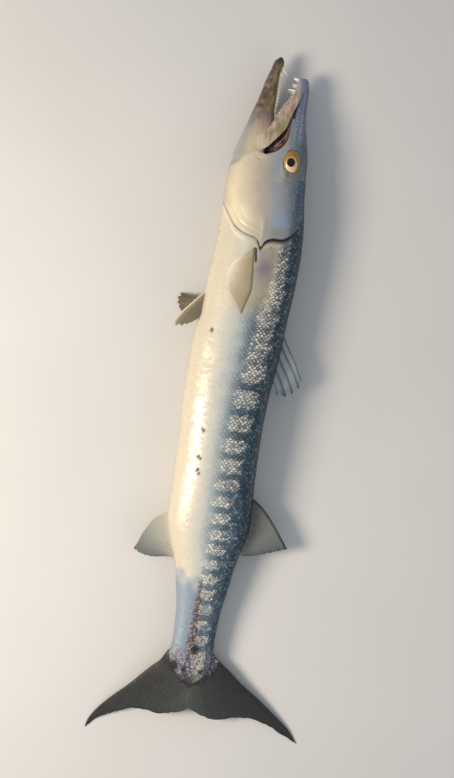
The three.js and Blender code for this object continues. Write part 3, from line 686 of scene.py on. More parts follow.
def uneven(tree, run, mottle, by):
    """A run of numbers that a mottle pushes up and down, by half of by each way"""
    lowered = add(tree, "Math", {0: run, 1: by / 2}, operation="SUBTRACT").outputs[0]
    return add(tree, "Math", {0: mottle, 1: by, 2: lowered}, operation="MULTIPLY_ADD").outputs[0]


def roughened(tree, shader, lumps, smoothest, roughest, strength, depth):
    """A surface between two roughnesses, with a relief of some depth in metres, both from the same lumps"""
    rough = add(tree, "MapRange", {0: lumps, 1: 0.3, 2: 0.7, 3: smoothest, 4: roughest}).outputs[0]
    tree.links.new(rough, shader.inputs["Roughness"])
    bumpy = add(tree, "Bump", {"Strength": strength, "Distance": depth, "Height": lumps})
    tree.links.new(bumpy.outputs[0], shader.inputs["Normal"])


def flesh_colour(tree):
    """The fish's markings, with painted shade in its slits and painted glints on its flecks, from the numbers
    stored on the mesh; the same on skin and scales
    """
    names = "rise head stalk cluster blotch lilac azure sand moss red pink crease light dark fade".split()
    seen = {name: add(tree, "Attribute", attribute_name=name).outputs["Fac"] for name in names}
    grain = add(tree, "TexCoord").outputs["Object"]
    mottle = add(tree, "TexNoise", {"Vector": grain, "Scale": PIGMENT, "Detail": 4.0}).outputs["Fac"]
    height = uneven(tree, seen["rise"], mottle, 0.10)
    tones = (TRUNK_STOPS, STALK_STOPS, HEAD_STOPS)
    flank, stalk, head = (add(tree, "ValToRGB", {0: height}, stops=stops).outputs[0] for stops in tones)
    fleck = add(tree, "ValToRGB", {0: seen["cluster"]}, stops=FLECK_STOPS).outputs[0]
    gap = add(tree, "ValToRGB", {0: seen["cluster"]}, stops=GAP_STOPS).outputs[0]
    sparks = add(tree, "TexNoise", {"Vector": grain, "Scale": SPARKS, "Detail": 2.0}).outputs["Fac"]
    broken = add(tree, "MapRange", {0: sparks, 1: 0.38, 2: 0.52, 3: 0.4, 4: 1.0}).outputs[0]
    seen["light"] = add(tree, "Math", {0: seen["light"], 1: broken}, operation="MULTIPLY").outputs[0]
    veins = add(tree, "TexNoise", {"Vector": grain, "Scale": VEINS, "Detail": 3.0}).outputs["Fac"]
    blood = add(tree, "ValToRGB", {0: veins}, stops=BLOOD_STOPS).outputs[0]
    rosy = add(tree, "ValToRGB", {0: veins}, stops=ROSY_STOPS).outputs[0]
    layers = [
        ("stalk", stalk),
        ("sand", "#c2b397"),
        ("head", head),
        ("red", blood),
        ("pink", rosy),
        # the silvery flecks, brightened with painted glints
        ("light", fleck),
        ("dark", gap),
        ("lilac", "#8f848e"),
        ("azure", "#8ba0bd"),
        ("moss", "#8a8452"),
        ("fade", "#292928"),
        ("blotch", "#211815"),
        # painted shade in the gill opening and in the pectoral fin's fold
        ("crease", "#1b1512"),
    ]
    colour = flank
    for name, top in layers:
        colour = add(tree, "Mix", {0: seen[name], 6: colour, 7: top}, data_type="RGBA").outputs[2]
    return colour, grain


def skin_material():
    """Wet fish skin: thin pigment over silvery tissue under a film of water, so it mirrors softly"""
    made, tree, shader = material(
        "wet_fish_skin",
        **{"Coat Weight": 0.25, "Coat Roughness": 0.22, "Specular IOR Level": 0.45, "Metallic": 0.05},
    )
    colour, grain = flesh_colour(tree)
    streaks = add(tree, "Mapping", {"Vector": grain, "Scale": STREAKS}).outputs[0]
    streak = add(tree, "TexNoise", {"Vector": streaks, "Scale": 1.0, "Detail": 3.0}).outputs["Fac"]
    patchy = add(tree, "TexNoise", {"Vector": grain, "Scale": PATCHY, "Detail": 3.0}).outputs["Fac"]
    dots = add(tree, "TexNoise", {"Vector": grain, "Scale": FRECKLES, "Detail": 2.0}).outputs["Fac"]
    tones = {
        "olive": (streak, [(0.3, "#454026"), (0.46, "#625a34"), (0.56, "#7d6f42"), (0.7, "#8f8058")]),
        "brown": (patchy, [(0.3, "#493b39"), (0.5, "#64534a"), (0.62, "#7d6b61"), (0.72, "#947f74")]),
        "dusk": (streak, [(0.3, "#574c4d"), (0.48, "#736868"), (0.6, "#8d7d74"), (0.72, "#a5917f")]),
        "tan": (streak, [(0.3, "#8f7a6c"), (0.46, "#b39d86"), (0.6, "#c9b79c"), (0.74, "#ddd0b8")]),
        "slate": (dots, [(0.34, "#4c5870"), (0.48, "#64708a"), (0.56, "#7f889d"), (0.68, "#a6abb5")]),
        # the mouth lining's pink-brown, its dark end painted shade inside the mouth
        "flesh": (patchy, [(0.3, "#2e1c22"), (0.5, "#573b42"), (0.68, "#80605f")]),
        "speckle": (dots, [(0.36, "#4a565c"), (0.47, "#7d878a"), (0.56, "#a4a9a4"), (0.66, "#c3c6bf")]),
    }
    tone = {}
    for name, (lumps, stops) in tones.items():
        tone[name] = add(tree, "ValToRGB", {0: lumps}, stops=stops).outputs[0]
    layers = [
        # painted shade: the grey of the throat, which lies in shade
        ("throat", "#a7a49f"),
        ("corner", "#c4ad8c"),
        ("freckled", tone["speckle"]),
        ("snout", tone["slate"]),
        ("snout_back", "#2c4760"),
        # painted light: lightens the hollow below and behind the eye, where its trough is shaded
        ("pale", "#cdcab8"),
        ("orbit", "#857544"),
        ("dusk", tone["dusk"]),
        # the lower jaw's front: its own olive-brown, darkened further with painted shade
        ("jaw_side", tone["brown"]),
        ("jaw_lip", tone["olive"]),
        ("jaw_tip", "#352d3c"),
        ("rose", "#b08a86"),
        ("blade", tone["tan"]),
        ("blade_rose", "#bd8f80"),
        ("blade_moss", "#857f52"),
        ("blade_tip", "#aca7ad"),
        ("tip_back", "#66738a"),
        # the mouth lining, its own pink-brown darkened with painted shade
        ("lining", tone["flesh"]),
        ("gum", "#c39a8c"),
    ]
    for name, top in layers:
        mask = add(tree, "Attribute", attribute_name=name).outputs["Fac"]
        colour = add(tree, "Mix", {0: mask, 6: colour, 7: top}, data_type="RGBA").outputs[2]
    tree.links.new(colour, shader.inputs["Base Color"])
    pores = add(tree, "TexNoise", {"Vector": grain, "Scale": PORES, "Detail": 2.0}).outputs["Fac"]
    roughened(tree, shader, pores, 0.34, 0.48, 0.25, 0.0004)
    return made


def scale_material():
    """Silvery cycloid scales: thin, glassy plates over guanine, which mirrors like a dull metal"""
    made, tree, shader = material(
        "silvery_scale", **{"Coat Weight": 0.18, "Coat Roughness": 0.2, "Specular IOR Level": 0.32}
    )
    colour, _ = flesh_colour(tree)
    tone = add(tree, "Attribute", attribute_name="tone").outputs["Fac"]
    along = add(tree, "Attribute", attribute_name="along").outputs["Fac"]
    rings = add(tree, "Math", {0: along, 1: RINGS}, operation="MULTIPLY").outputs[0]
    ring = add(tree, "Math", {0: rings}, operation="SINE").outputs[0]
    shade = add(tree, "MapRange", {0: tone, 1: 0.0, 2: 1.0, 3: 0.9, 4: 1.03}).outputs[0]
    tint = add(tree, "CombineColor", {0: shade, 1: shade, 2: shade}).outputs[0]
    toned = add(tree, "Mix", {0: 1.0, 6: colour, 7: tint}, data_type="RGBA", blend_type="MULTIPLY").outputs[2]
    tree.links.new(toned, shader.inputs["Base Color"])
    metal = add(tree, "MapRange", {0: tone, 1: 0.0, 2: 1.0, 3: 0.02, 4: 0.2}).outputs[0]
    tree.links.new(metal, shader.inputs["Metallic"])
    rough = add(tree, "MapRange", {0: tone, 1: 0.0, 2: 1.0, 3: 0.45, 4: 0.3}).outputs[0]
    tree.links.new(rough, shader.inputs["Roughness"])
    bumpy = add(tree, "Bump", {"Strength": 0.12, "Distance": 0.0002, "Height": ring})
    tree.links.new(bumpy.outputs[0], shader.inputs["Normal"])
    return made


def fin_material(name, by, stops, ray_colour, ray_strength=0.5, see_through=1.0, edge_colour="#1d2326"):
    """Fin membrane: damp skin stretched between bony rays, thin enough to let some light through"""
    made, tree, shader = material(
        name, **{"Coat Weight": 0.25, "Coat Roughness": 0.2, "Specular IOR Level": 0.45}
    )
    seen = {
        key: add(tree, "Attribute", attribute_name=key).outputs["Fac"]
        for key in ("ray", "reach", "span", "lead", "sheath")
    }
    grain = add(tree, "TexCoord").outputs["Object"]
    mottle = add(tree, "TexNoise", {"Vector": grain, "Scale": MEMBRANE, "Detail": 4.0}).outputs["Fac"]
    colour = add(tree, "ValToRGB", {0: uneven(tree, seen[by], mottle, 0.16)}, stops=stops).outputs[0]
    raised = add(tree, "Math", {0: seen["ray"], 1: ray_strength}, operation="MULTIPLY").outputs[0]
    veins = add(tree, "TexNoise", {"Vector": grain, "Scale": VEINS, "Detail": 3.0}).outputs["Fac"]
    rosy = add(tree, "ValToRGB", {0: veins}, stops=ROSY_STOPS).outputs[0]
    for mask, top in ((raised, ray_colour), (seen["lead"], edge_colour), (seen["sheath"], rosy)):
        colour = add(tree, "Mix", {0: mask, 6: colour, 7: top}, data_type="RGBA").outputs[2]
    tree.links.new(colour, shader.inputs["Base Color"])
    if see_through < 1:
        solid = add(tree, "Math", {0: seen["ray"], 1: seen["lead"]}, operation="MAXIMUM").outputs[0]
        rooted = add(tree, "MapRange", {0: seen["reach"], 1: 0.0, 2: 0.25, 3: 1.0, 4: 0.0}).outputs[0]
        solid = add(tree, "Math", {0: solid, 1: rooted}, operation="MAXIMUM").outputs[0]
        alpha = add(tree, "MapRange", {0: solid, 1: 0.0, 2: 0.7, 3: see_through, 4: 1.0}).outputs[0]
        tree.links.new(alpha, shader.inputs["Alpha"])
    roughened(tree, shader, mottle, 0.34, 0.5, 0.3, 0.0003)
    return made


def eye_material():
    """A wet eye: a clear, hard, glossy cornea over a gold iris with a pale inner ring"""
    made, tree, shader = material(
        "wet_eye", **{"Coat Weight": 0.8, "Coat Roughness": 0.03, "Roughness": 0.4, "Specular IOR Level": 0.1}
    )
    seen = {
        key: add(tree, "Attribute", attribute_name=key).outputs["Fac"] for key in ("ring", "pupil", "ahead")
    }
    grain = add(tree, "TexCoord").outputs["Object"]
    mottle = add(tree, "TexNoise", {"Vector": grain, "Scale": IRIS_FLECKS, "Detail": 4.0}).outputs["Fac"]
    ring = uneven(tree, seen["ring"], mottle, 0.12)
    half = add(tree, "Math", {0: ring, 1: 0.5}, operation="MULTIPLY").outputs[0]
    iris = add(tree, "ValToRGB", {0: half}, stops=IRIS_STOPS).outputs[0]
    outside = add(tree, "MapRange", {0: seen["ring"], 1: 0.95, 2: 1.1, 3: 0.0, 4: 0.9}).outputs[0]
    fore = add(tree, "Math", {0: seen["ahead"], 1: outside}, operation="MULTIPLY").outputs[0]
    iris = add(tree, "Mix", {0: fore, 6: iris, 7: "#b27f35"}, data_type="RGBA").outputs[2]
    hole = add(tree, "ValToRGB", {0: seen["pupil"]}, stops=[(0.93, 1.0), (1.0, 0.0)]).outputs[0]
    colour = add(tree, "Mix", {0: hole, 6: iris, 7: "#0d060b"}, data_type="RGBA").outputs[2]
    tree.links.new(colour, shader.inputs["Base Color"])
    return made


def tooth_material():
    """Enamel: hard, ivory white and glossy, a little darker at the root"""
    made, tree, shader = material("tooth_enamel", **{"Coat Weight": 0.5, "Coat Roughness": 0.1})
    up = add(tree, "Attribute", attribute_name="reach").outputs["Fac"]
    grain = add(tree, "TexCoord").outputs["Object"]
    mottle = add(tree, "TexNoise", {"Vector": grain, "Scale": ENAMEL, "Detail": 3.0}).outputs["Fac"]
    shifted = add(tree, "Math", {0: mottle, 1: 0.2, 2: up}, operation="MULTIPLY_ADD").outputs[0]
    stops = [(0.1, "#c9a78f"), (0.35, "#e9e0cf"), (1.0, "#fbfaf5")]
    colour = add(tree, "ValToRGB", {0: shifted}, stops=stops).outputs[0]
    tree.links.new(colour, shader.inputs["Base Color"])
    rough = add(tree, "MapRange", {0: mottle, 1: 0.3, 2: 0.7, 3: 0.2, 4: 0.34}).outputs[0]
    tree.links.new(rough, shader.inputs["Roughness"])
    return made


def tongue_material():
    """Wet mouth lining: soft pink-grey skin with fine bumps"""
    made, tree, shader = material("wet_mouth_lining", **{"Coat Weight": 0.4, "Coat Roughness": 0.15})
    grain = add(tree, "TexCoord").outputs["Object"]
    mottle = add(tree, "TexNoise", {"Vector": grain, "Scale": PAPILLAE, "Detail": 4.0}).outputs["Fac"]
    stops = [(0.3, "#8e6a63"), (0.5, "#b38d81"), (0.7, "#c9aba0")]
    colour = add(tree, "ValToRGB", {0: mottle}, stops=stops).outputs[0]
    tree.links.new(colour, shader.inputs["Base Color"])
    roughened(tree, shader, mottle, 0.3, 0.45, 0.4, 0.0004)
    return made


# Markings

# Bright patches along the upper flank, between the dark bars: at, x of the middle
BRIGHT_PATCHES = [
    (279.0, 50.0), (318.0, 47.0), (357.0, 42.0), (396.0, 37.0), (435.0, 33.0), (473.4, 29.0),
    (509.6, 25.8), (541.8, 20.5), (570.5, 19.2), (599.1, 19.2), (622.3, 17.0), (646.7, 16.2),
    (670.9, 17.0), (692.4, 16.0), (715.6, 13.8), (737.5, 13.3), (760.5, 15.0), (783.5, 15.5),
    (806.5, 16.0), (829.5, 16.5), (852.5, 17.0),
]
# Dark spots: at, x, radius
SPOTS = [
    (382.7, -33.3, 3.0), (524.2, -24.9, 3.2), (563.0, -26.3, 2.8), (566.0, -22.5, 2.0), (581.4, -25.0, 2.8),
    (586.5, -22.0, 2.0), (845.0, 10.5, 6.8), (873.7, -17.6, 8.0), (877.3, -2.4, 4.0), (877.9, 22.6, 4.0),
]
# Smooth patches with a faint tint, lilac and blue: at, x, half length, half width, strength
LILAC = [(286.0, 27.0, 19.0, 14.0, 1.0)]
AZURE = [
    (138.0, 23.0, 16.0, 8.0, 0.6),
    (165.0, 27.0, 30.0, 6.0, 0.35),
    (222.0, 38.0, 20.0, 12.0, 0.8),
    (265.0, 20.0, 6.0, 4.5, 0.55),
]
# The reddish line along the middle of the tail stalk: at, half width, strength
FLUSH = [
    (712.0, 1.6, 0.0),
    (726.0, 2.4, 0.6),
    (745.0, 3.6, 0.75),
    (769.0, 5.8, 0.85),
    (803.0, 6.6, 0.9),
    (831.0, 8.6, 0.9),
    (856.0, 9.5, 0.75),
    (880.0, 9.0, 0.35),
]
FLUSH_X = 5.5
# The fold at the pectoral fin's root, from [at, x] to [at, x], and the half width of the shade painted in it
SLIT = [(259.5, 11.2), (277.0, 13.4)]
SLIT_HALF = 1.7
# Half height of the bright patches, edge of the sandy neck, and on the lower jaw the upper line of the
# throat's
# painted shade and the line below its lip: at, x
PATCH_HEIGHT = [(262, 9.5), (330, 13), (470, 16.5), (600, 15), (740, 11), (850, 9)]
SAND_EDGE = [(250, 46), (290, 46), (330, 48), (350, 42), (372, 34)]
THROAT_LINE = [(40, -9), (77, -14), (97, -19), (125, -22), (138, -34), (148, -48)]
LIP_LINE = [(-20, 2.5), (0, -0.5), (20, -2.5), (40, -4.0), (60, -6.0)]
# Where one colour takes over from the next along the fish: from, to
STALK_BLUE = (718, 752)
BARS_PART = (380, 480)  # ahead of this the bright patches run together
SAND_ENDS = (322, 374)
ROSY_SKIN = (826, 872)
TAIL_FADE = (874, 899)


def patches(at, x, table):
    value = np.zeros_like(at)
    for patch_at, patch_x, long, wide, strength in table:
        value = np.maximum(value, strength * bump(at, patch_at, long) * bump(x, patch_x, wide))
    return value


def wobble(at, x, size, seed=0.0):
    """A smooth, repeatable unevenness between -1 and 1, its lumps about size millimetres across"""
    a = at / size
    b = x / size
    return (
        np.sin(a * 2.1 + 1.7 * np.sin(b * 1.3 + seed) + seed)
        + np.sin(b * 2.3 + 1.9 * np.sin(a * 1.1 - seed) + 2.0 * seed)
        + np.sin((a + b) * 1.7 + seed * 3.0)
    ) / 3


def painted_slit_shade(at, x):
    """Painted shade as dark lines: in the open edge behind the gill cover, thin below its flap, and in the
    pectoral fin's fold
    """
    behind = at - gill_edge_at(x)
    above = smoothstep(9, 15, x) * (1 - smoothstep(54, 66, x))
    half = 1.1 + 1.5 * above
    line = (1 - smoothstep(half * 0.6, half * 1.5, np.abs(behind - 0.6 * half))) * (0.5 + 0.48 * above)
    line = line * (1 - smoothstep(58, 70, x))
    (start_at, start_x), (end_at, end_x) = SLIT
    run_at, run_x = end_at - start_at, end_x - start_x
    along = ((at - start_at) * run_at + (x - start_x) * run_x) / (run_at**2 + run_x**2)
    along = np.clip(along, 0, 1)
    off = np.hypot(at - start_at - along * run_at, x - start_x - along * run_x)
    return np.maximum(line, 0.95 * (1 - smoothstep(SLIT_HALF * 0.6, SLIT_HALF * 1.5, off)))


def markings(at, x, rise):
    """The numbers that the flesh colours are made from; rise is 0 at the belly line and 1 at the back line"""
    behind = at - gill_edge_at(x)
    head = 1 - smoothstep(-2.0, 1.0, behind)
    stalk = smoothstep(*STALK_BLUE, at - 0.45 * (x + 30) + 9 * wobble(at, x, 9))
    bars = np.array(BRIGHT_PATCHES)
    phase = np.interp(at, bars[:, 0], np.arange(len(bars))) + 0.08 * wobble(at, x, 4.5, 3.0)
    middle = read_off(BRIGHT_PATCHES, at)
    wave = 0.5 + 0.5 * np.cos(2 * np.pi * phase)
    barred = smoothstep(*BARS_PART, at)
    beat = smoothstep(0.08, 0.55, wave) * barred + (0.7 + 0.3 * wave) * (1 - barred)
    tall = read_off(PATCH_HEIGHT, at)
    off = x - middle + 4.0 * wobble(at, x, 5.0, 1.0)
    cluster = beat * np.exp(-np.abs(off / tall) ** 3.5) * (0.5 + 0.5 * smoothstep(270, 325, at))
    cluster = cluster * (1 - 0.5 * stalk * (0.5 + 0.5 * wobble(at, x, 6.0, 8.0))) * (1 - head)
    rear = smoothstep(420, 560, at)
    # The upper flank, where scattered scales get painted glints and dark rims
    glint_and_rim_zone = smoothstep(0.50 - 0.07 * rear, 0.61, rise) * (1 - 0.7 * smoothstep(0.80, 0.93, rise))
    blotch = np.zeros_like(at)
    for spot_at, spot_x, r in SPOTS:
        d = np.hypot((at - spot_at) * 0.85, x - spot_x) + 0.9 * wobble(at, x, 2.6, spot_at)
        blotch = np.maximum(blotch, 1 - smoothstep(r * 0.4, r * 1.35, d))
    lilac = patches(at, x, LILAC) * (1 - head)
    sand_edge = read_off(SAND_EDGE, at) + 3.5 * wobble(at, x, 6.0, 2.0)
    sand = (1 - smoothstep(*SAND_ENDS, at)) * (1 - smoothstep(-5, 3, x - sand_edge)) * (1 - head)
    off = np.abs(x - FLUSH_X - 2.0 * wobble(at, x, 11, 5.0)) / read_off(FLUSH, at)
    torn = 0.5 * wobble(at, x, 2.4, 2.0) + 0.3 * wobble(at, x, 5.5, 6.0)
    red = read_off(FLUSH, at, 2) * (1 - smoothstep(0.3, 1.3, off + torn))
    pink = smoothstep(*ROSY_SKIN, at + 9 * wobble(at, x, 6, 7.0)) * 0.75
    haze = bump(at, 800, 38) * bump(x, 4, 15) * (0.5 + 0.5 * wobble(at, x, 7, 9.0))
    return dict(
        rise=rise,
        head=head,
        stalk=stalk,
        cluster=cluster,
        glint_and_rim_zone=glint_and_rim_zone * (1 - 0.9 * np.clip(1.3 * lilac, 0, 1)) * (1 - 0.6 * sand) * (1 - head),
        blotch=blotch * 0.9,
        lilac=lilac,
        azure=patches(at, x, AZURE),
        sand=sand * smoothstep(0.36, 0.5, rise) * 0.85,
        moss=head * bump(behind, -9, 7) * bump(x, 37, 13) * 0.6,
        red=red,
        pink=np.maximum(pink, 0.45 * haze),
        fade=0.95 * smoothstep(*TAIL_FADE, at + 6 * wobble(at, x, 4, 1.0)),
        crease=painted_slit_shade(at, x),
    )


# Skin

def smoothed(values, edges, count, rounds, keep=None):
    """Values averaged with those next to them over the mesh, as far as keep lets them"""
    values = np.array(values, float)
    flat = values.reshape(len(values), -1)
    degree = np.bincount(edges.ravel(), minlength=count)[:, None]
    for _ in range(rounds):
        total = np.zeros_like(flat)
        for k in range(flat.shape[1]):
            ahead = np.bincount(edges[:, 0], flat[edges[:, 1], k], count)
            total[:, k] = ahead + np.bincount(edges[:, 1], flat[edges[:, 0], k], count)
        new = total / np.maximum(degree, 1)
        flat = new if keep is None else flat * keep[:, None] + new * (1 - keep[:, None])
    return flat.reshape(values.shape)


# Points round the bag of the skin, and rings over the gullet, the cheeks' edge, the head and the trunk
COLUMNS = 208
GULLET_ROWS = 10
LIP_STEPS = 6
HEAD_ROWS = 120
BODY_ROWS = 340
JAW_STEPS = 60  # points round the outside of the lower jaw's section, and as many round the inside
FORM_STEPS = 96  # points round the snout and the palate
BLADE_ROWS = 130
BLADE_COLUMNS = 40
# Rows over the free edge of the gill cover: distance ahead of the edge where it is folded and where it isn't,
# and depth below the lip as a share, then below the trunk in millimetres
FOLD_ROWS = [
    (0.0, 0.0, 0.15, 0.0),
    (0.2, -0.4, 0.7, -0.3),
    (1.8, -0.9, 1.0, -1.5),
    (-0.4, -1.5, 1.0, -1.6),
    (-1.8, -2.6, 1.0, -1.0),
    (-4.0, -4.6, 1.0, -0.4),
    (-7.5, -7.5, 1.0, 0.0),
]
FOLD_END = 9.0  # the folded edge is done this far behind it
LIP_ROUND = 0.8  # radius of the gill cover's free edge
MOUTH_ROUND = 2.6  # radius of the cheeks' edge at the mouth
GULLET = np.array([142.0, 6.0, 37.0])  # where the gullet ends: at, x, z
SETTLING = 60  # rounds in which a column's place on an edge is found


def edge_for_columns(shares, edge, start):
    """Where each column of the skin meets an edge that is given by x"""
    at = np.full(len(shares), float(start))
    for _ in range(SETTLING):
        x, _ = trunk(at, turn_at(at, shares))
        at = 0.5 * at + 0.5 * edge(x)
    return at


def rounded(distance, radius):
    """How far a rounded edge falls back at a distance from it"""
    d = np.clip(distance / radius, 0, 1)
    return radius * (1 - np.sqrt(1 - (1 - d) ** 2))


def head_and_trunk():
    """One closed bag: the trunk, the gill covers with their folded edge, the cheeks, and the gullet inside"""
    shares = np.arange(COLUMNS) / COLUMNS
    gill = edge_for_columns(shares, gill_edge_at, 225)
    mouth = edge_for_columns(shares, mouth_edge_at, 100)
    free = opening(surface(gill, shares, True)[:, 1])
    rings = []
    # The gullet, from its end outwards to the rounded edge of the cheeks
    edge_ring = lifted(mouth, shares, np.full(COLUMNS, -MOUTH_ROUND), True)
    for inward in np.geomspace(0.96, 0.02, GULLET_ROWS):
        rings.append(edge_ring * (1 - inward) + GULLET * inward)
    for k in np.linspace(0, 1, LIP_STEPS)[:-1]:
        back_by = MOUTH_ROUND * (1 - np.cos(k * np.pi / 2))
        sink = np.full(COLUMNS, MOUTH_ROUND * (1 - np.sin(k * np.pi / 2)))
        rings.append(lifted(mouth + back_by, shares, -sink, True))
    start = mouth + MOUTH_ROUND
    for k in range(HEAD_ROWS):
        at = start + (gill - 0.3 - start) * k / (HEAD_ROWS - 1)
        rings.append(lifted(at, shares, -rounded(gill - at, LIP_ROUND) * free * 0.7, True))
    lip = lifted(gill, shares, -0.9 * free, True)
    for ahead, plain, depth_share, depth in FOLD_ROWS:
        at = gill - (ahead * free + plain * (1 - free))
        under = lifted(at, shares, depth * free, False)
        over = lip + np.stack([at - gill, 0 * at, 0 * at], -1)
        mix = np.clip(depth_share * free + (1 - free), 0, 1)[:, None]
        rings.append(over * (1 - mix) + under * mix)
    start = gill + FOLD_END
    for k in range(BODY_ROWS):
        at = start + (STALK_END - start) * k / (BODY_ROWS - 1)
        sink = -COAT_DEPTH * smoothstep(0, 14, at - gill)
        rings.append(lifted(at, shares, sink, False))
    return np.array(rings)


def lower_jaw_rings():
    """The lower jaw as a thick trough: outside round the throat, over the lip and back inside"""
    tip = LOWER_JAW[0][0]
    outside = np.linspace(JAW_LIP, 2 * np.pi - JAW_LIP, JAW_STEPS)
    rings = []
    for at in np.concatenate([[tip - 1.2], np.arange(tip, 134, 1.3)]):
        trough = smoothstep(-19.0, -6.0, at)
        x, z = lower(max(at, tip), outside)
        wall = JAW_WALL * (0.5 + 0.5 * trough)
        inner_x, inner_z = lower(max(at, tip), outside[::-1], wall=wall, floor=JAW_FLOOR)
        rim = x[0]
        inner_x = rim - 0.4 - (rim - inner_x) * trough
        lip_z = [(z[-1] + inner_z[0]) / 2], [(z[0] + inner_z[-1]) / 2]
        ring = np.column_stack([
            np.concatenate([x, [rim + 0.7], inner_x, [rim + 0.7]]),
            np.concatenate([z, lip_z[0], inner_z, lip_z[1]]),
        ])
        shrink = 0.45 if at < tip else 1.0
        ring = (ring - ring.mean(0)) * shrink + ring.mean(0)
        rings.append(np.column_stack([np.full(len(ring), at), ring]))
    return np.array(rings)


tooth_edge = curve(TOOTH_EDGE)
slit_edge = curve(SLIT_EDGE)


def blade_grids(side):
    """Outer and inner faces of an upper jaw blade, which meets the other one at the tip"""
    along = np.linspace(0, 1, BLADE_ROWS)[:, None]
    across = np.linspace(0, 1, BLADE_COLUMNS)[None, :]
    low = tooth_edge(along[:, 0])[:, None, :]
    high = slit_edge(along[:, 0])[:, None, :]
    place = low * (1 - across[..., None]) + high * across[..., None]
    at, x = place[..., 0], place[..., 1]
    out = upper.flank(at, x, 1) - upper.level(at)
    out = out * (1 - 0.5 * (1 - smoothstep(-3.2, 4.0, at)) ** 2)
    edge = np.abs(2 * across - 1)
    rim = np.sqrt(np.maximum(1 - edge**5, 0.0))
    end = np.sqrt(np.clip((1 - along) / 0.03, 0, 1))
    half = BLADE_THICK / 2 * rim * end
    ridge = 0.6 * bump(across, 0.62, 0.13) - 0.4 * bump(across, 0.40, 0.10)
    ridge = ridge * smoothstep(0.12, 0.3, along) * (1 - smoothstep(0.75, 0.95, along))
    middle = out - BLADE_THICK / 2 - 2.4 * smoothstep(0.74, 1.0, along)
    outer = middle + half + ridge * rim
    inner = middle - half
    tip = 1 - smoothstep(SOLID_TIP, SOLID_TIP + 9, at)
    inner = inner * (1 - tip) - 0.15 * tip
    outer = np.maximum(outer, 0.15)
    level = upper.level(at)
    return (
        np.stack([at, x, level + side * outer], -1),
        np.stack([at, x, level + side * inner], -1),
    )


def ellipsoid_rings(centre, radii, tilt, rows=40, columns=72):
    """Rings over an ellipsoid from its top, tilted about the fish's length; sizes are (at, x, z)"""
    down = np.linspace(0.02, np.pi - 0.02, rows)[:, None]
    round_ = np.linspace(0, 2 * np.pi, columns, endpoint=False)[None, :]
    at = radii[0] * np.sin(down) * np.sin(round_)
    x = radii[1] * np.sin(down) * np.cos(round_)
    z = radii[2] * np.cos(down) * np.ones_like(round_)
    turned_x = x * np.cos(tilt) + z * np.sin(tilt)
    turned_z = -x * np.sin(tilt) + z * np.cos(tilt)
    return np.stack([at + centre[0], turned_x + centre[1], turned_z + centre[2]], -1)


def eye_centre(side):
    return np.array([EYE_AT, EYE_X, float(trunk.flank(EYE_AT, EYE_X, side)) - side * EYE_SUNK])


# Ridges and furrows side by side: height, distance from a line, spread
EYE_RIM = [(0.8, 1.4, 1.5), (-0.3, 5.0, 2.2)]
GILL_RAYS = [(0.16, 5.0, 2.0), (-0.3, 8.0, 1.1), (0.1, 12.0, 2.6), (-0.12, 17.0, 1.6)]
COVER_SEAM = [(-0.14, 0, 2.2), (0.1, 5.0, 3.0)]
CROWN_RIDGES = [(0.6, 44.5, 1.8), (-0.45, 48.0, 1.5), (0.45, 51.5, 1.6)]  # these from the midline, in x
CORNER_FOLDS = [(0.25, 9.0, 1.8), (-0.25, 12.5, 1.6), (0.15, 16.0, 2.2)]
UNEVEN_CHEEK = [(0.4, 21, 1.0), (0.10, 6, 2.0), (0.04, 2, 3.0)]  # height, size, seed
MOUTH_CORNER = (116, 2)


def folded(height, off, rows):
    """A height with a table's ridges and furrows added"""
    for tall, distance, spread in rows:
        height = height + tall * bump(off, distance, spread)
    return height


def relief(at, x):
    """Height of the folds and ridges of the head, in millimetres"""
    eye = np.sqrt(((at - EYE_AT) / EYE_LONG) ** 2 + ((x - EYE_X) / EYE_TALL) ** 2)
    height = folded(0.0, (eye - 0.84) * 15, EYE_RIM)
    low_throat = 1 - smoothstep(-2, 16, x)
    rays = folded(0.0, distance_to(gill_line, at, x), GILL_RAYS)
    height = height + rays * low_throat * (at < gill_edge_at(x))
    height = folded(height, distance_to(cover_line, at, x), COVER_SEAM)
    for tall, size, seed in UNEVEN_CHEEK:
        height = height + tall * wobble(at, x, size, seed)
    height = height + folded(0.0, x, CROWN_RIDGES) * (1 - smoothstep(84, 112, at))
    corner = np.hypot((at - MOUTH_CORNER[0]) * 0.9, x - MOUTH_CORNER[1])
    return height + folded(0.0, corner, CORNER_FOLDS) * (at > 108) * (x < 10)


SEAM_ROUNDS = 60
BLADE_MERGES = 74.0  # behind this the blade's lower edge runs into the cheek


def soften_seams(body):
    """Draws the places where snout, lower jaw, cheek and the rear of the blades meet into one flesh"""
    shares, edges = form_shares(body.data)
    count = len(body.data.vertices)
    points = read_points(body)
    at, x, z = points.T
    merging = blade_merges(at, x, z)
    mixed = np.zeros(count, bool)
    for name in ("flesh", "nose", "jaw"):
        mixed |= (shares[name] > 0.02) & (shares[name] < 0.98)
    mixed |= merging & (shares["blade"] > 0)
    sharp = ((shares["lining"] > 0) | (shares["blade"] > 0)) & ~merging
    near = smoothed((mixed & ~sharp).astype(float), edges, count, 9)
    near = np.clip(near * 6, 0, 1) * ~sharp
    move_points(body, smoothed(points, edges, count, SEAM_ROUNDS, keep=1 - near))


def blade_merges(at, x, z):
    """Where the rear of an upper jaw blade runs into the flesh below it, on the outside of the head"""
    slit_x = read_off(SLIT_EDGE, at)
    outside = np.abs(z - trunk.level(at)) > 17
    kept = 5 - 4 * smoothstep(99, 110, at)
    return (at > BLADE_MERGES) & (at < 122) & (x < slit_x - kept) & outside


def nape_relief(at, x):
    """The head's folds as they lie under the nape's scales"""
    return relief(at, x) * (1 - smoothstep(-3, 0, at - gill_edge_at(x)))


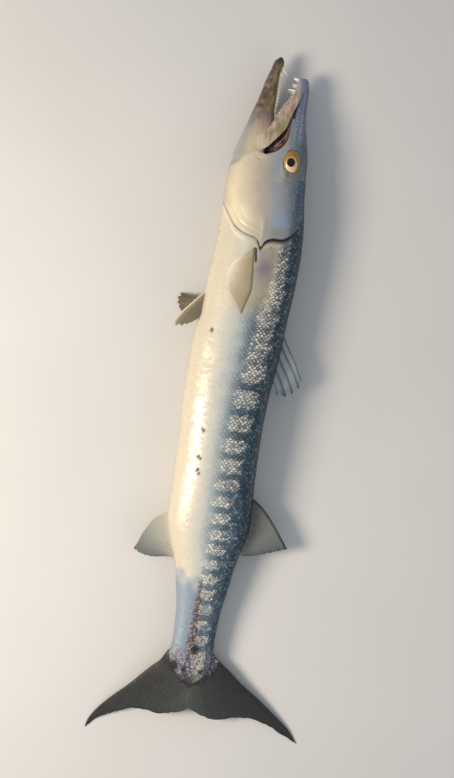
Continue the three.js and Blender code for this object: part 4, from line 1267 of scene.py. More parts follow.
def snout_rings():
    """The snout, which draws in where it ends inside the head"""
    turns = np.linspace(0, 2 * np.pi, FORM_STEPS, endpoint=False)
    rings = []
    for at in np.arange(6.0, 112, 1.3):
        x, z = snout(min(at, SNOUT_REAR), turns)
        shrink = 1 - 0.03 * max(at - 96.0, 0.0)
        x = x.mean() + (x - x.mean()) * shrink
        z = z.mean() + (z - z.mean()) * shrink
        rings.append(np.column_stack([np.full(FORM_STEPS, at), x, z]))
    return np.array(rings)


def palate_rings():
    turns = np.linspace(0, 2 * np.pi, FORM_STEPS, endpoint=False)
    ats = np.arange(8.0, 128, 1.6)
    return np.array([np.column_stack([np.full(FORM_STEPS, at), *palate(at, turns)]) for at in ats])


def make_head_and_trunk():
    """The bag of the skin; its ends and what lies inside the mouth are lining"""
    rings = head_and_trunk()
    body = mesh_object("skin", *tube(rings))
    row = np.arange(len(body.data.polygons)) // COLUMNS
    throat = (row < GULLET_ROWS + 2) | (row == len(rings) - 1)
    return tag(body, np.where(throat, FORMS.index("lining"), FORMS.index("flesh")))


def raise_folds(body):
    """Lifts the outside of the head into its folds and ridges"""
    mesh = body.data
    shares, _ = form_shares(mesh)
    normals = np.zeros(len(mesh.vertices) * 3)
    mesh.vertices.foreach_get("normal", normals)
    normals = normals.reshape(-1, 3)
    normals = np.column_stack([-normals[:, 1], normals[:, 0], normals[:, 2]])
    points = read_points(body)
    at, x, z = points.T
    ahead = 1 - smoothstep(-3, 0, at - gill_edge_at(x))
    outer = np.clip(shares["flesh"] + shares["nose"] + shares["jaw"] * (at > HEAD_FRONT), 0, 1)
    outer = outer * (shares["lining"] < 0.02)
    facing = np.sign(z - trunk.level(at)) * normals[:, 2] > -0.2
    height = relief(at, x) * ahead * outer * facing
    move_points(body, points + normals * height[:, None])


def make_skin(look):
    """One skin: trunk, head, snout, jaws and palate joined, their seams softened and the sockets cut"""
    body = make_head_and_trunk()
    jaw = mesh_object("lower_jaw_form", *tube(lower_jaw_rings()))
    column = np.arange(len(jaw.data.polygons)) % (2 * JAW_STEPS + 2)
    parts = [
        tag(mesh_object("snout_form", *tube(snout_rings())), FORMS.index("nose")),
        tag(jaw, np.where(column >= JAW_STEPS, FORMS.index("lining"), FORMS.index("jaw"))),
        tag(mesh_object("palate", *tube(palate_rings())), FORMS.index("lining")),
        tag(mesh_object("mouth_fold", *tube(fold_rings())), FORMS.index("jaw")),
    ]
    for side in (1, -1):
        blade = mesh_object("blade_form", *slab(*blade_grids(side)))
        faces = np.arange(len(blade.data.polygons))
        face_count = (BLADE_ROWS - 1) * (BLADE_COLUMNS - 1)
        inner = (faces >= face_count) & (faces < 2 * face_count)
        parts.append(tag(blade, np.where(inner, FORMS.index("lining"), FORMS.index("blade"))))
    joined(body, parts, "UNION")
    soften_seams(body)
    raise_folds(body)

    room = (EYE_LONG + 0.2, EYE_TALL + 0.2, EYE_DEEP + 0.2)
    sockets = []
    for side in (1, -1):
        socket = mesh_object("socket", *tube(ellipsoid_rings(eye_centre(side), room, side * EYE_TILT)))
        sockets.append(tag(socket, FORMS.index("lining")))
    joined(body, sockets, "DIFFERENCE")
    paint_skin(body)
    covers = ("gill_cover_left", "gill_cover_right")
    trunk_lengths = ("torso_front", "torso_middle", "torso_rear", "tail_stalk")
    return finish_piece(body, "skin", look, "head", *covers, "upper_jaw", "lower_jaw", *trunk_lengths)


MOUTH_FOLD = [(60, 34.6, 45), (70, 33.6, 49), (80, 32.4, 51), (90, 29.0, 52), (99, 23.0, 52), (105, 16.5, 50)]


def fold_rings():
    """The pale fold of skin that shows inside the slit between the upper jaw and the cheek"""
    line = curve(MOUTH_FOLD)
    along = np.linspace(0, 1, 60)
    turn = np.linspace(0, 2 * np.pi, 14, endpoint=False)
    rings = []
    for place, s in zip(line(along), along):
        r = 0.75 * np.sin(np.pi * np.clip(s, 0.02, 0.98)) ** 0.4
        around = [0.6 * r * np.cos(turn), r * np.cos(turn), 3 * r * np.sin(turn)]
        rings.append(np.column_stack(around) + place)
    return np.array(rings)


def rise_of(at, x):
    """Share of the way round the flank, 0 at the belly line and 1 at the back line"""
    back, belly = trunk.back(at), trunk.belly(at)
    f = np.clip(2 * (x - belly) / (back - belly) - 1, -1, 1)
    return np.arccos(-f) / np.pi


def paint_skin(body):
    """Stores the numbers that the skin's colours come from"""
    shares, edges = form_shares(body.data)
    count = len(body.data.vertices)
    at, x, z = read_points(body).T
    jaw, blade, nose, flesh = shares["jaw"], shares["blade"], shares["nose"], shares["flesh"]
    marks = markings(at, x, rise_of(at, x))
    del marks["glint_and_rim_zone"]
    # The throat's grey below the throat line is painted shade
    throat = smoothstep(-2, 3, read_off(THROAT_LINE, at) - x)
    throat = throat * (1 - smoothstep(138, 152, at)) * smoothstep(44, 56, at)
    fore = 1 - smoothstep(42, 76, at + 0.25 * x + 8 * wobble(at, x, 8))
    off_eye = np.hypot((at - EYE_AT - 2) / (0.86 * EYE_LONG), (x - EYE_X + 1) / (0.9 * EYE_TALL))
    behind_eye = bump(at, EYE_AT + 17, 8) * bump(x, EYE_X - 3, 5.5)
    crown = smoothstep(0.62, 0.8, marks["rise"] + 0.05 * wobble(at, x, 6, 4.0)) * smoothstep(80, 100, at)
    freckles = (1 - smoothstep(0.86, 0.97, marks["rise"])) * (0.15 + 0.25 * smoothstep(112, 140, at))
    above_snout = smoothstep(0, 4, x - snout.back(np.minimum(at, SNOUT_REAR)) + 4.5)
    jaw_rear = 1 - smoothstep(62, 102, at + 5 * wobble(at, x, 6, 3.0))
    masks = dict(
        lining=shares["lining"] * ~blade_merges(at, x, z),
        throat=throat * (jaw + flesh),
        corner=jaw * smoothstep(50, 70, at) * (1 - throat) * 0.8,
        freckled=(flesh + nose) * crown * marks["head"] * freckles,
        snout=nose * (1 - smoothstep(78, 112, at)),
        snout_back=(nose + flesh) * above_snout * 0.9 * (1 - smoothstep(96, 122, at)),
        # Painted light over the shaded hollow below and behind the eye
        pale=flesh * bump(at, 150, 11) * bump(x, 33, 6) * 0.6,
        orbit=flesh * np.maximum(bump(off_eye, 1.0, 0.10) * 0.6, behind_eye * 0.95),
        dusk=jaw * jaw_rear * smoothstep(40, 60, at) * (0.9 - 0.4 * throat),
        # The lower jaw's olive-brown front is its own colour deepened with painted shade
        jaw_side=jaw * fore,
        jaw_lip=jaw * fore * smoothstep(-2.0, 2.0, x - read_off(LIP_LINE, at)),
        jaw_tip=jaw * (1 - smoothstep(-25, -13, at + 4 * wobble(at, x, 4))),
        rose=jaw * bump(at, 74, 9) * bump(x, 3, 7) * 0.6,
        blade=blade * (1 - 0.85 * smoothstep(90, 110, at + 4 * wobble(at, x, 5, 2.0))),
        blade_rose=blade * bump(at, 44, 10) * bump(x, 35, 9) * 0.6,
        blade_moss=blade * bump(at, 80, 14) * smoothstep(-2, 6, x - (27 - 0.85 * (at - 60))) * 0.75,
        blade_tip=blade * (1 - smoothstep(8, 34, at)),
        tip_back=(blade + nose) * smoothstep(39, 44, x) * (1 - smoothstep(34, 52, at)) * 0.8,
        gum=jaw * smoothstep(0.5, 1.2, x - 8.2 + 0.02 * at) * smoothstep(-14, -6, at) * 0.7,
    )
    for name, value in masks.items():
        rounds = 2 if name in ("lining", "blade") else 6
        masks[name] = smoothed(value, edges, count, rounds)
    # The skin gets a faint share of the flecks' painted glints
    write(body, light=marks["cluster"] * 0.3, dark=np.zeros(count), **marks, **masks)


# Scales

SCALE_PITCH = [(215.0, 5.4), (262.0, 6.6), (700.0, 6.9), (893.0, 5.0)]  # at, pitch in a row
NAPE_PITCH = [(144.0, 3.5), (236.0, 4.3)]
# Lengths of the coat on each side: name, from, to
COAT_LENGTHS = [("neck", 0, 400), ("middle", 400, 560), ("rear", 560, 717), ("stalk", 717, 1000)]
SCALE_ROWS = 54  # round the girth
NAPE_ROWS = 84
SCALE_LONG = 1.72  # length over the pitch
SCALE_WIDE = 0.74  # half width over the space between rows
SCALE_THICK = 0.2
SCALE_SUNK = 0.30  # its root lies this deep under the skin
LOWEST = 0.02  # nothing of a scale or fin lies nearer to the floor
UNWRAP_SPREAD = 0.003  # side of a scale's patch on the unwrap
# A bare pit behind the pectoral fin's root: its rear end, the middle of its height and its half height
PIT_END = 276
PIT_X = 5
PIT_HALF = 12
# One scale, by the share of its length and of its half width
ALONG = np.array([0.0, 0.36, 0.60, 0.78, 0.91, 1.0])
ACROSS = np.array([-1.0, -0.62, -0.22, 0.22, 0.62, 1.0])
# Where a scale is bright, in its bare middle, which is silvery and carries painted glints, and where it is
# edged with dark pigment
SPOT = np.array([0.0, 0.4, 1.0, 1.0, 0.4, 0.0])[:, None] * np.array([0.0, 0.5, 1.0, 1.0, 0.5, 0.0])[None, :]
EDGE = np.maximum(
    np.array([0.0, 0.0, 0.1, 0.3, 0.8, 1.0])[:, None] * np.ones(6),
    np.array([1.0, 0.4, 0.0, 0.0, 0.4, 1.0])[None, :] * np.array([0.0, 0.3, 0.7, 0.8, 0.9, 1.0])[:, None],
)


def scale_outline(a):
    """Half width along a scale: nearly straight at its root, round at its free end"""
    end = np.clip((a - 0.5) / 0.52, 0, 1)
    return (0.82 + 0.18 * np.clip(a / 0.5, 0, 1)) * np.sqrt(1 - end**2)


def lens_faces():
    """One scale as a closed lens: its top is a grid, and the underside shares the top's rim"""
    rows, columns = len(ALONG), len(ACROSS)
    index = np.arange(rows * columns).reshape(rows, columns)
    inner = index[1:-1, 1:-1].ravel()
    under = np.arange(rows * columns)
    under[inner] = rows * columns + np.arange(len(inner))
    top = grid(rows, columns)
    return np.concatenate([top, under[top[:, ::-1]]]), inner


def scale_piece(name, look, place, at, across, long, wide, lift, values, seat):
    """A piece of the coat: place(at, across, height) puts its points, seat is each root's place unwrapped"""
    faces, inner = lens_faces()
    count = len(at)
    a = ALONG[None, :, None]
    b = ACROSS[None, None, :]
    rise_up = lift[:, None, None]
    tilt = random.normal(0, 1, (count, 2))[:, :, None, None]
    height = -SCALE_SUNK + (SCALE_SUNK + rise_up) * a**0.8 + (0.04 + 0.2 * rise_up) * (1 - b**2) * a
    height = height + rise_up * (0.2 * tilt[:, 0] * (a - 0.4) + 0.5 * tilt[:, 1] * b * a)
    there = at[:, None, None] + long[:, None, None] * a * np.ones_like(b)
    side = across[:, None, None] + wide[:, None, None] * scale_outline(a) * b
    there = np.minimum(there, STALK_END - 0.5)
    top = place(there, side, height).reshape(count, -1, 3)
    low = place(there, side, height - SCALE_THICK).reshape(count, -1, 3)[:, inner]
    points = np.concatenate([top, low], 1)
    each = points.shape[1]
    points = points.reshape(-1, 3)
    points[:, 2] = np.maximum(points[:, 2], LOWEST)
    offsets = (np.arange(count) * each)[:, None, None]
    piece = mesh_object(name, points, [(faces[None] + offsets).reshape(-1, 4)])
    sharpen_rims(piece, each, inner)

    def per_point(pattern):
        flat = np.broadcast_to(pattern, (len(ALONG), len(ACROSS))).ravel()
        return np.tile(np.concatenate([flat, flat[inner]]), count)

    tone = np.repeat(values["tone"], each)
    marks = markings(points[:, 0], points[:, 1], np.repeat(values["rise"], each))
    cluster, glint_and_rim_zone = marks["cluster"], marks.pop("glint_and_rim_zone")
    # Painted glints: the scales' bright middles, strongest in the bright patches and on scattered scales of
    # the upper flank and nape
    strength = cluster * (0.25 + 1.1 * tone)
    strength = strength + (1 - cluster) * (glint_and_rim_zone + 0.8 * marks["head"]) * 0.7 * tone**2
    light = np.clip(per_point(SPOT) * strength * 1.4, 0, 1)
    dark = per_point(EDGE) * (0.03 + 0.66 * glint_and_rim_zone * (1 - 0.5 * cluster))
    dark = dark * (1 - np.clip(1.4 * marks["lilac"], 0, 1))
    marks["fade"] = np.maximum(marks["fade"], np.repeat(values.get("fade", np.zeros(count)), each))
    write(piece, tone=tone, along=per_point(ALONG[:, None]), light=light, dark=dark, **marks)
    spread = [per_point(ALONG[:, None]) - 0.5, per_point(ACROSS[None, :]) * 0.5]
    unwrapped = np.repeat(seat, each, axis=0) + UNWRAP_SPREAD * np.stack(spread, -1)
    layer = piece.data.uv_layers.new(name="OFBake")
    corner_vertex = np.zeros(len(piece.data.loops), np.int64)
    piece.data.loops.foreach_get("vertex_index", corner_vertex)
    layer.data.foreach_set("uv", unwrapped[corner_vertex].astype(np.float32).ravel())
    return finish_piece(piece, "skin", look)


def sharpen_rims(piece, each, inner):
    """Keeps the shading of a scale's top apart from its underside's, so that the plates look thin"""
    mesh = piece.data
    edges = np.zeros(len(mesh.edges) * 2, np.int64)
    mesh.edges.foreach_get("vertices", edges)
    local = edges.reshape(-1, 2) % each
    on_rim = ~np.isin(local, inner) & (local < len(ALONG) * len(ACROSS))
    layer = mesh.attributes.new("sharp_edge", "BOOLEAN", "EDGE")
    layer.data.foreach_set("value", on_rim.all(1))


def on_unwrap(at, share):
    """Each root's place on an unrolled skin: along, then round the girth"""
    return np.stack([0.02 + 0.96 * (at - 140) / 770, 0.02 + 0.96 * share], -1)


def scale_seats(first, last, rows, pitches):
    """Root place, share of the girth and pitch of every scale; each row is set between the last one's"""
    seats = []
    at = first
    row = 0
    while at < last:
        pitch = float(read_off(pitches, at))
        for k in range(rows):
            seats.append((at, (k + 0.5 * (row % 2)) / rows, pitch))
        at += pitch / 2
        row += 1
    return np.array(seats).T


def make_nape_scales(look):
    """The small scales on top of the head, from behind the eyes to where head and trunk are one"""
    at, share, pitch = scale_seats(144.0, 236.0, NAPE_ROWS, NAPE_PITCH)
    x = surface(at, share, np.full(at.shape, True))[:, 1]
    rise = rise_of(at, x)
    # Both edges of the scaled part are ragged
    within = rise + 0.012 * random.normal(0, 1, len(at)) - 0.80 + 0.07 * smoothstep(150, 215, at)
    behind = (at - 147 - 5 * wobble(at, x, 9, 5.0)) / 90 + 0.01 * random.normal(0, 1, len(at))
    within = np.minimum(within, behind)
    keep = (at < gill_edge_at(x) - 1.5) & (within > 0)
    at, share, pitch, rise, within = (values[keep] for values in (at, share, pitch, rise, within))
    tone = np.clip(0.45 + 0.35 * random.normal(0, 1, len(at)), 0, 1)
    shown = smoothstep(0.0, 0.07, within)
    for side, on_side in (("left", share < 0.5), ("right", share >= 0.5)):

        def place(there, around, height):
            on_head = np.full(there.shape, True)
            over = nape_relief(there, surface(there, around, on_head)[..., 1])
            base = 0.24 * shown[on_side][:, None, None] - 0.02
            return lifted(there, around, height + over + base, on_head)

        scale_piece(
            f"scales_{side}_nape", look, place, at[on_side], share[on_side],
            (pitch * SCALE_LONG)[on_side],
            np.full(on_side.sum(), SCALE_WIDE / NAPE_ROWS),
            0.04 + 0.08 * shown[on_side],
            dict(tone=tone[on_side] * shown[on_side], rise=rise[on_side]),
            on_unwrap(at[on_side], share[on_side]),
        )


def make_scales(look):
    """The coat of trunk and stalk, from behind the gill covers to the tail, in lengths on each side"""
    at, share, pitch = scale_seats(150.0, 893.0, SCALE_ROWS, SCALE_PITCH)
    at = at + random.normal(0, 0.045, len(at)) * pitch
    share = share + random.normal(0, 0.05, len(at)) / SCALE_ROWS
    x = surface(at, share)[:, 1]
    rise = rise_of(at, x)
    behind = at - gill_edge_at(x)
    first = np.where(opening(x) > 0.3, 1.8 + 7.0 * (1 - smoothstep(4, 14, x)), -3.0)
    in_pit = (at < PIT_END) & (np.abs(x - PIT_X) < PIT_HALF)
    keep = (behind > first) & ~in_pit
    at, share, pitch, rise, x, behind = (values[keep] for values in (at, share, pitch, rise, x, behind))
    girth = random.normal(1.0, 0.05, len(at))
    tone = np.clip(0.5 + 0.34 * random.normal(0, 1, len(at)), 0, 1)
    smooth_patch = np.clip(1.3 * markings(at, x, rise)["lilac"], 0, 1)
    lift = (0.08 + 0.2 * smoothstep(0.42, 0.6, rise)) * (1 - 0.6 * smooth_patch)
    off_pit = np.maximum(at - PIT_END, np.abs(x - PIT_X) - PIT_HALF)
    base = 0.2 - COAT_DEPTH - 0.5 * (1 - smoothstep(2, 12, behind)) * opening(x)
    base = base - 0.4 * (1 - smoothstep(0, 9, off_pit))
    for side, on_side in (("left", np.mod(share, 1) < 0.5), ("right", np.mod(share, 1) >= 0.5)):
        for name, low, high in COAT_LENGTHS:
            pick = on_side & (at >= low) & (at < high)

            def place(there, around, height):
                return lifted(there, around, height + base[pick][:, None, None], np.full(there.shape, False))

            scale_piece(
                f"scales_{side}_{name}", look, place, at[pick], share[pick],
                (pitch * SCALE_LONG * girth)[pick],
                (SCALE_WIDE * girth / SCALE_ROWS)[pick],
                lift[pick],
                dict(tone=tone[pick], rise=rise[pick]),
                on_unwrap(at[pick], np.mod(share[pick], 1)),
            )


def make_tail_root_scales(look):
    """Small scales that run from the stalk on to the roots of both lobes, on both faces"""
    seats = []
    for row, at in enumerate(np.arange(846.0, 899.0, 1.9)):
        for x in np.arange(-36.0, 52.0, 3.4) + 1.7 * (row % 2):
            inside = read_off(SCALED_TO, x) - at - random.uniform(0, 12)
            off_stalk = x > trunk.back(at) - 3.5 or x < trunk.belly(at) + 3.5 or at > 884
            within = read_off(LOWER_LEAD, at) + 3 < x < read_off(UPPER_LEAD, at) - 3
            if inside > 0 and off_stalk and within:
                seats.append((at, x, inside))
    at, x, inside = np.array(seats).T
    for side, name in ((1, "left"), (-1, "right")):

        def place(there, beside, height):
            fan = beside + (beside - FORK[1]) * (there - at[:, None, None]) * 0.012
            level = tail_lie(fan) + side * (TAIL_THICK / 2 - 0.12 + height)
            return np.stack([there, fan, level], -1)

        scale_piece(
            f"scales_tail_root_{name}", look, place, at, x,
            *(np.full(len(at), size) for size in (5.6, 2.4, 0.12)),  # length, half width, lift
            dict(
                tone=np.clip(0.5 + 0.3 * random.normal(0, 1, len(at)), 0, 1),
                rise=np.full(len(at), 0.5),
                fade=0.95 * (1 - smoothstep(1, 20, inside)),
            ),
            np.stack([(at - 800) / 110, (x + 60) / 140], -1),
        )


# Fins

# What each membrane's colour runs along, its colours, its rays' colour and strength, how solid it is between
# them, and the colour of its front edge
MEMBRANES = {
    "spiny_fin_membrane": (
        "reach",
        [(0.0, "#7d919b"), (0.3, "#b4c3ca"), (0.7, "#bac8ce"), (0.9, "#8b9da6"), (1.0, "#52636d")],
        "#2f404a", 0.8, 0.3, "#25343d",
    ),
    "soft_fin_membrane": (
        "reach",
        [(0.0, "#56544f"), (0.22, "#74736d"), (0.6, "#848883"), (0.88, "#6c7371"), (1.0, "#485150")],
        "#5c5c55", 0.45, 0.62,
    ),
    "pale_fin_membrane": (
        "reach",
        [(0.0, "#ddd5c2"), (0.3, "#bdbbac"), (0.6, "#999b95"), (0.85, "#717877"), (1.0, "#565f60")],
        "#8a8b80", 0.4, 0.66,
    ),
    "cream_fin_membrane": (
        "span",
        [
            (0.0, "#94876b"), (0.1, "#ac9e80"), (0.35, "#bbad8f"),
            (0.6, "#d0c3a7"), (0.8, "#eadfc8"), (1.0, "#faf2e2"),
        ],
        "#988b69", 0.22, 0.86, "#7d7155",
    ),
    "near_pelvic_membrane": (
        "span",
        [(0.0, "#e2d8bd"), (0.12, "#a99d7f"), (0.3, "#857c66"), (1.0, "#75705f")],
        "#5f5842", 0.4, 0.75, "#e6dcc2",
    ),
    # darker than the near pelvic fin's membrane: painted shade, as this fin lies under the belly
    "shaded_far_pelvic_membrane": (
        "reach",
        [(0.0, "#847352"), (0.4, "#665839"), (1.0, "#4c4229")],
        "#8a7a55", 0.35, 0.9,
    ),
    "tail_fin_membrane": (
        "span",
        [(0.0, "#161717"), (0.14, "#1e1f1f"), (0.5, "#292928"), (0.8, "#373a36"), (1.0, "#484d48")],
        "#1b1c1b", 0.2,
    ),
}


def fin_grids(root, margin, front, rear, lie, rays, rows, columns, thick, thin=0.8, notch=0.0, fray=0.0,
              ridge_share=0.6, branch=True):
    """Both faces of a fin between its root, its margin, its front edge and its rear edge, with ridged rays.

    s runs from the front edge (0) to the rear edge (1) and t from the root (0) to the margin (1). The notch
    cuts the margin back between the rays, and the fray here and there."""
    root, margin, front, rear = (curve(line) for line in (root, margin, front, rear))
    s = np.linspace(0, 1, columns)[None, :]
    ray_place = s * (rays - 1)
    between = 0.5 - 0.5 * np.cos(2 * np.pi * ray_place)
    reach = np.linspace(0, 1, rows)[:, None]
    ragged = (0.5 + 0.5 * np.sin(s * 61 + 2 * np.sin(s * 23))) * (0.3 + 0.7 * np.sin(s * 17) ** 2)
    t = reach * (1 - notch * between - fray * ragged)
    a, b, c, d = root(s[0]), margin(s[0]), front(t), rear(t)
    corner = [root(0.0), root(1.0), margin(0.0), margin(1.0)]
    place = (
        (1 - t)[..., None] * a[None]
        + t[..., None] * b[None]
        + (1 - s)[..., None] * c
        + s[..., None] * d
        - ((1 - s) * (1 - t))[..., None] * corner[0]
        - (s * (1 - t))[..., None] * corner[1]
        - ((1 - s) * t)[..., None] * corner[2]
        - (s * t)[..., None] * corner[3]
    )
    at, x = place[..., 0], place[..., 1]
    z = lie(at, x, s * np.ones_like(t), t)
    # Rays are ridges that split towards the margin
    off = ray_place - np.round(ray_place)
    ridge = np.exp(-((off / (0.15 + 0.05 * t)) ** 2))
    if branch:
        split = smoothstep(0.45, 0.75, t)
        forks = np.exp(-(((np.abs(off) - 0.2 * split) / 0.11) ** 2))
        ridge = ridge * (1 - split) + forks * split
    shown = ridge_share * smoothstep(0.02, 0.22, t)
    full = thick + (thin - thick) * t
    edge = np.minimum(np.minimum(s, 1 - s) * columns / 2.2, (1 - reach) * rows / 2.2)
    half = full * (1 - shown + shown * ridge) / 2 * np.clip(0.35 + 0.65 * edge, 0.35, 1)
    middle = np.stack([at, x, z], -1)
    normal = np.cross(np.gradient(middle, axis=1), np.gradient(middle, axis=0))
    normal /= np.maximum(np.linalg.norm(normal, axis=-1, keepdims=True), 1e-9)
    middle = middle + normal * (0.3 * ridge_share * np.sin(ray_place * np.pi * 2 + 0.6) * t)[..., None]
    values = dict(ray=ridge, reach=np.broadcast_to(t, ridge.shape), span=np.broadcast_to(s, ridge.shape))
    return middle + normal * half[..., None], middle - normal * half[..., None], values


def make_fin(node, slot, look, lead_wide=0.0, trail_wide=0.0, sheathed=False, **shape):
    """A fin over its node; its front edge and margin are darker where a width is given"""
    front, back, values = fin_grids(**shape)
    lead = 1 - smoothstep(lead_wide * 0.4, lead_wide, values["span"]) if lead_wide else 0 * values["span"]
    if trail_wide:
        lead = np.maximum(lead, 0.8 * smoothstep(1 - trail_wide, 1 - 0.3 * trail_wide, values["reach"]))
    values["lead"] = lead * 0.85
    limit = np.array(SCALED_TO)
    past = front[..., 0] - np.interp(front[..., 1], limit[:, 0], limit[:, 1], left=800, right=800)
    rough = 3.0 * wobble(front[..., 0], front[..., 1], 3.5, 2.0)
    values["sheath"] = (1 - smoothstep(-14, 2, past + rough)) * (0.8 if sheathed else 0.0)
    for face in (front, back):
        face[..., 2] = np.maximum(face[..., 2], LOWEST)
    piece = mesh_object(node.replace("_lobe", "") + "_skin", *slab(front, back))
    write(piece, **{key: np.concatenate([v.ravel(), v.ravel()]) for key, v in values.items()})
    return finish_piece(piece, slot, look, node)


# The four edges of each fin, [at, x], its height over the floor by place, and its rays and grid
TAIL = dict(
    lie=lambda at, x, s, t: tail_lie(x),
    rays=17,
    thick=TAIL_THICK,
    thin=0.9,
    rows=80,
    columns=183,
    fray=0.012,
    ridge_share=0.1,
    lead_wide=0.10,
    trail_wide=0.02,
    sheathed=True,
)
PECTORAL = dict(rays=19, notch=0.012, fray=0.01, ridge_share=0.14)
PELVIC = dict(rays=6, thick=2.2, rows=45, columns=91, notch=0.04, fray=0.05, ridge_share=0.25)
UPPER_TRAIL = [
    (969.9, 180.5), (966.7, 174.7), (957, 153.5), (949.5, 140.4), (943.8, 124.5), (940.5, 113.4),
    (939.3, 98.2), (940.2, 83.4), (944, 69.1), (946.2, 56), (946.4, 47), (942.2, 31.6), (938.7, 23.6),
    (FORK[0], FORK[1] - LOBES_MEET),
]
LOWER_TRAIL = [
    (990.8, -135.4), (979.8, -125.5), (970.3, -114.7), (963, -100.6), (955.9, -86.5), (950.2, -72.2),
    (948, -57.4), (948.9, -42.1), (949.8, -31.4), (947.6, -19.8), (941.3, 1.7),
    (FORK[0], FORK[1] + LOBES_MEET),
]
FINS = [
    ("first_dorsal_fin", "fin", "spiny_fin_membrane", dict(
        root=[(362, 64), (398, 62), (432, 58.5)],
        margin=[(434.5, 105.4), (446.6, 103.6), (455, 95.9), (461, 85), (461.3, 72.6)],
        front=[(362, 64), (385, 77), (410, 92), (434.5, 105.4)],
        rear=[(432, 58.5), (441, 64), (451, 69.5), (461.3, 72.6)],
        lie=lambda at, x, s, t: trunk.level(at) - 5 * t * t,
        rays=5, thick=2.6, rows=50, columns=121, notch=0.10, fray=0.03, branch=False, lead_wide=0.05,
    )),
    ("second_dorsal_fin", "fin", "soft_fin_membrane", dict(
        root=[(611, 58), (655, 56), (694, 47)],
        margin=[(681.4, 122.1), (687.6, 104.5), (694, 86.3), (698.8, 69.3), (700.3, 59.2)],
        front=[
            (611, 58), (615.7, 64.1), (624.3, 75.8), (638.6, 89.7),
            (657.2, 104.4), (671.9, 115.4), (681.4, 122.1),
        ],
        rear=[(694, 47), (698, 53), (700.3, 59.2)],
        lie=lambda at, x, s, t: trunk.level(at) - 5 * t * t,
        rays=15, thick=2.4, rows=60, columns=151, notch=0.012, fray=0.012, ridge_share=0.18,
        lead_wide=0.07, trail_wide=0.035,
    )),
    ("anal_fin", "pale_fin", "pale_fin_membrane", dict(
        root=[(645, -52), (678, -49), (713, -36)],
        margin=[(713.8, -101.4), (718.2, -93.5), (721.2, -80), (720.5, -66), (717, -52)],
        front=[
            (645, -52), (650.4, -58.8), (658.2, -69.5), (667.2, -80),
            (686.8, -90.5), (701, -95.9), (713.8, -101.4),
        ],
        rear=[(713, -36), (716, -44), (717, -52)],
        lie=lambda at, x, s, t: trunk.level(at) - 6 * t * t,
        rays=14, thick=2.4, rows=55, columns=151, notch=0.015, fray=0.02, ridge_share=0.18,
    )),
    ("tail_fin_upper_lobe", "fin", "tail_fin_membrane", dict(
        root=[UPPER_LEAD[0], (866, 22), (878, 9.5 - LOBES_MEET)],
        margin=UPPER_TRAIL,
        front=UPPER_LEAD,
        rear=[(878, 9.5 - LOBES_MEET), (906, 11 - LOBES_MEET), UPPER_TRAIL[-1]],
        **TAIL,
    )),
    ("tail_fin_lower_lobe", "fin", "tail_fin_membrane", dict(
        root=[LOWER_LEAD[0], (868, -8), (878, 9.5 + LOBES_MEET)],
        margin=LOWER_TRAIL,
        front=LOWER_LEAD,
        rear=[(878, 9.5 + LOBES_MEET), (906, 11 + LOBES_MEET), LOWER_TRAIL[-1]],
        **TAIL,
    )),
    ("pectoral_fin_left", "pale_fin", "cream_fin_membrane", dict(
        root=[(259, 8.5), (267, 0), (279, -14)],
        margin=[(355.1, 3.4), (342.5, -5), (327.9, -16.5), (312.6, -23.2), (298.3, -23.3)],
        front=[(259, 8.5), (279.3, 9.6), (297.5, 11.6), (318.7, 12.6), (336.5, 8.4), (355.1, 3.4)],
        rear=[(279, -14), (286.5, -20.5), (298.3, -23.3)],
        lie=lambda at, x, s, t: trunk.flank(at, x, 1) + 0.25 + 0.7 * t + 0.3 * np.sin(np.pi * s),
        thick=1.7, rows=60, columns=193, lead_wide=0.045,
        **PECTORAL,
    )),
    ("pectoral_fin_right", "pale_fin", "cream_fin_membrane", dict(
        root=[(260, -4), (268, -13), (280, -24)],
        margin=[(350, -20), (337, -28), (322, -35), (308, -37), (296, -36)],
        front=[(260, -4), (290, -6), (320, -11), (350, -20)],
        rear=[(280, -24), (287, -31), (296, -36)],
        lie=lambda at, x, s, t: trunk.flank(at, x, -1) - 0.9 - 0.3 * t,
        thick=1.6, rows=40, columns=129,
        **PECTORAL,
    )),
    ("pelvic_fin_left", "pale_fin", "near_pelvic_membrane", dict(
        root=[(328, -50), (338, -49.5), (351, -49)],
        margin=[(383.3, -94.4), (382.6, -80), (378, -69), (370, -57.4)],
        front=[(328, -50), (330.2, -54.7), (349, -70.7), (364.1, -82.9), (383.3, -94.4)],
        rear=[(351, -49), (360, -52), (370, -57.4)],
        lie=lambda at, x, s, t: 54 + 8 * t,
        lead_wide=0.10,
        **PELVIC,
    )),
    ("pelvic_fin_right", "pale_fin", "shaded_far_pelvic_membrane", dict(
        root=[(328, -49), (338, -49), (351, -49)],
        margin=[(330, -90), (341, -93), (354, -88), (364, -77)],
        front=[(328, -49), (333, -62), (333, -76), (330, -90)],
        rear=[(351, -49), (357, -58), (364, -77)],
        lie=lambda at, x, s, t: 32 - 30 * t,
        **PELVIC,
    )),
]


def make_fins():
    looks = {name: fin_material(name, *finish) for name, finish in MEMBRANES.items()}
    for node, slot, look, shape in FINS:
        make_fin(node, slot, looks[look], **shape)


# Eyes, teeth and tongue

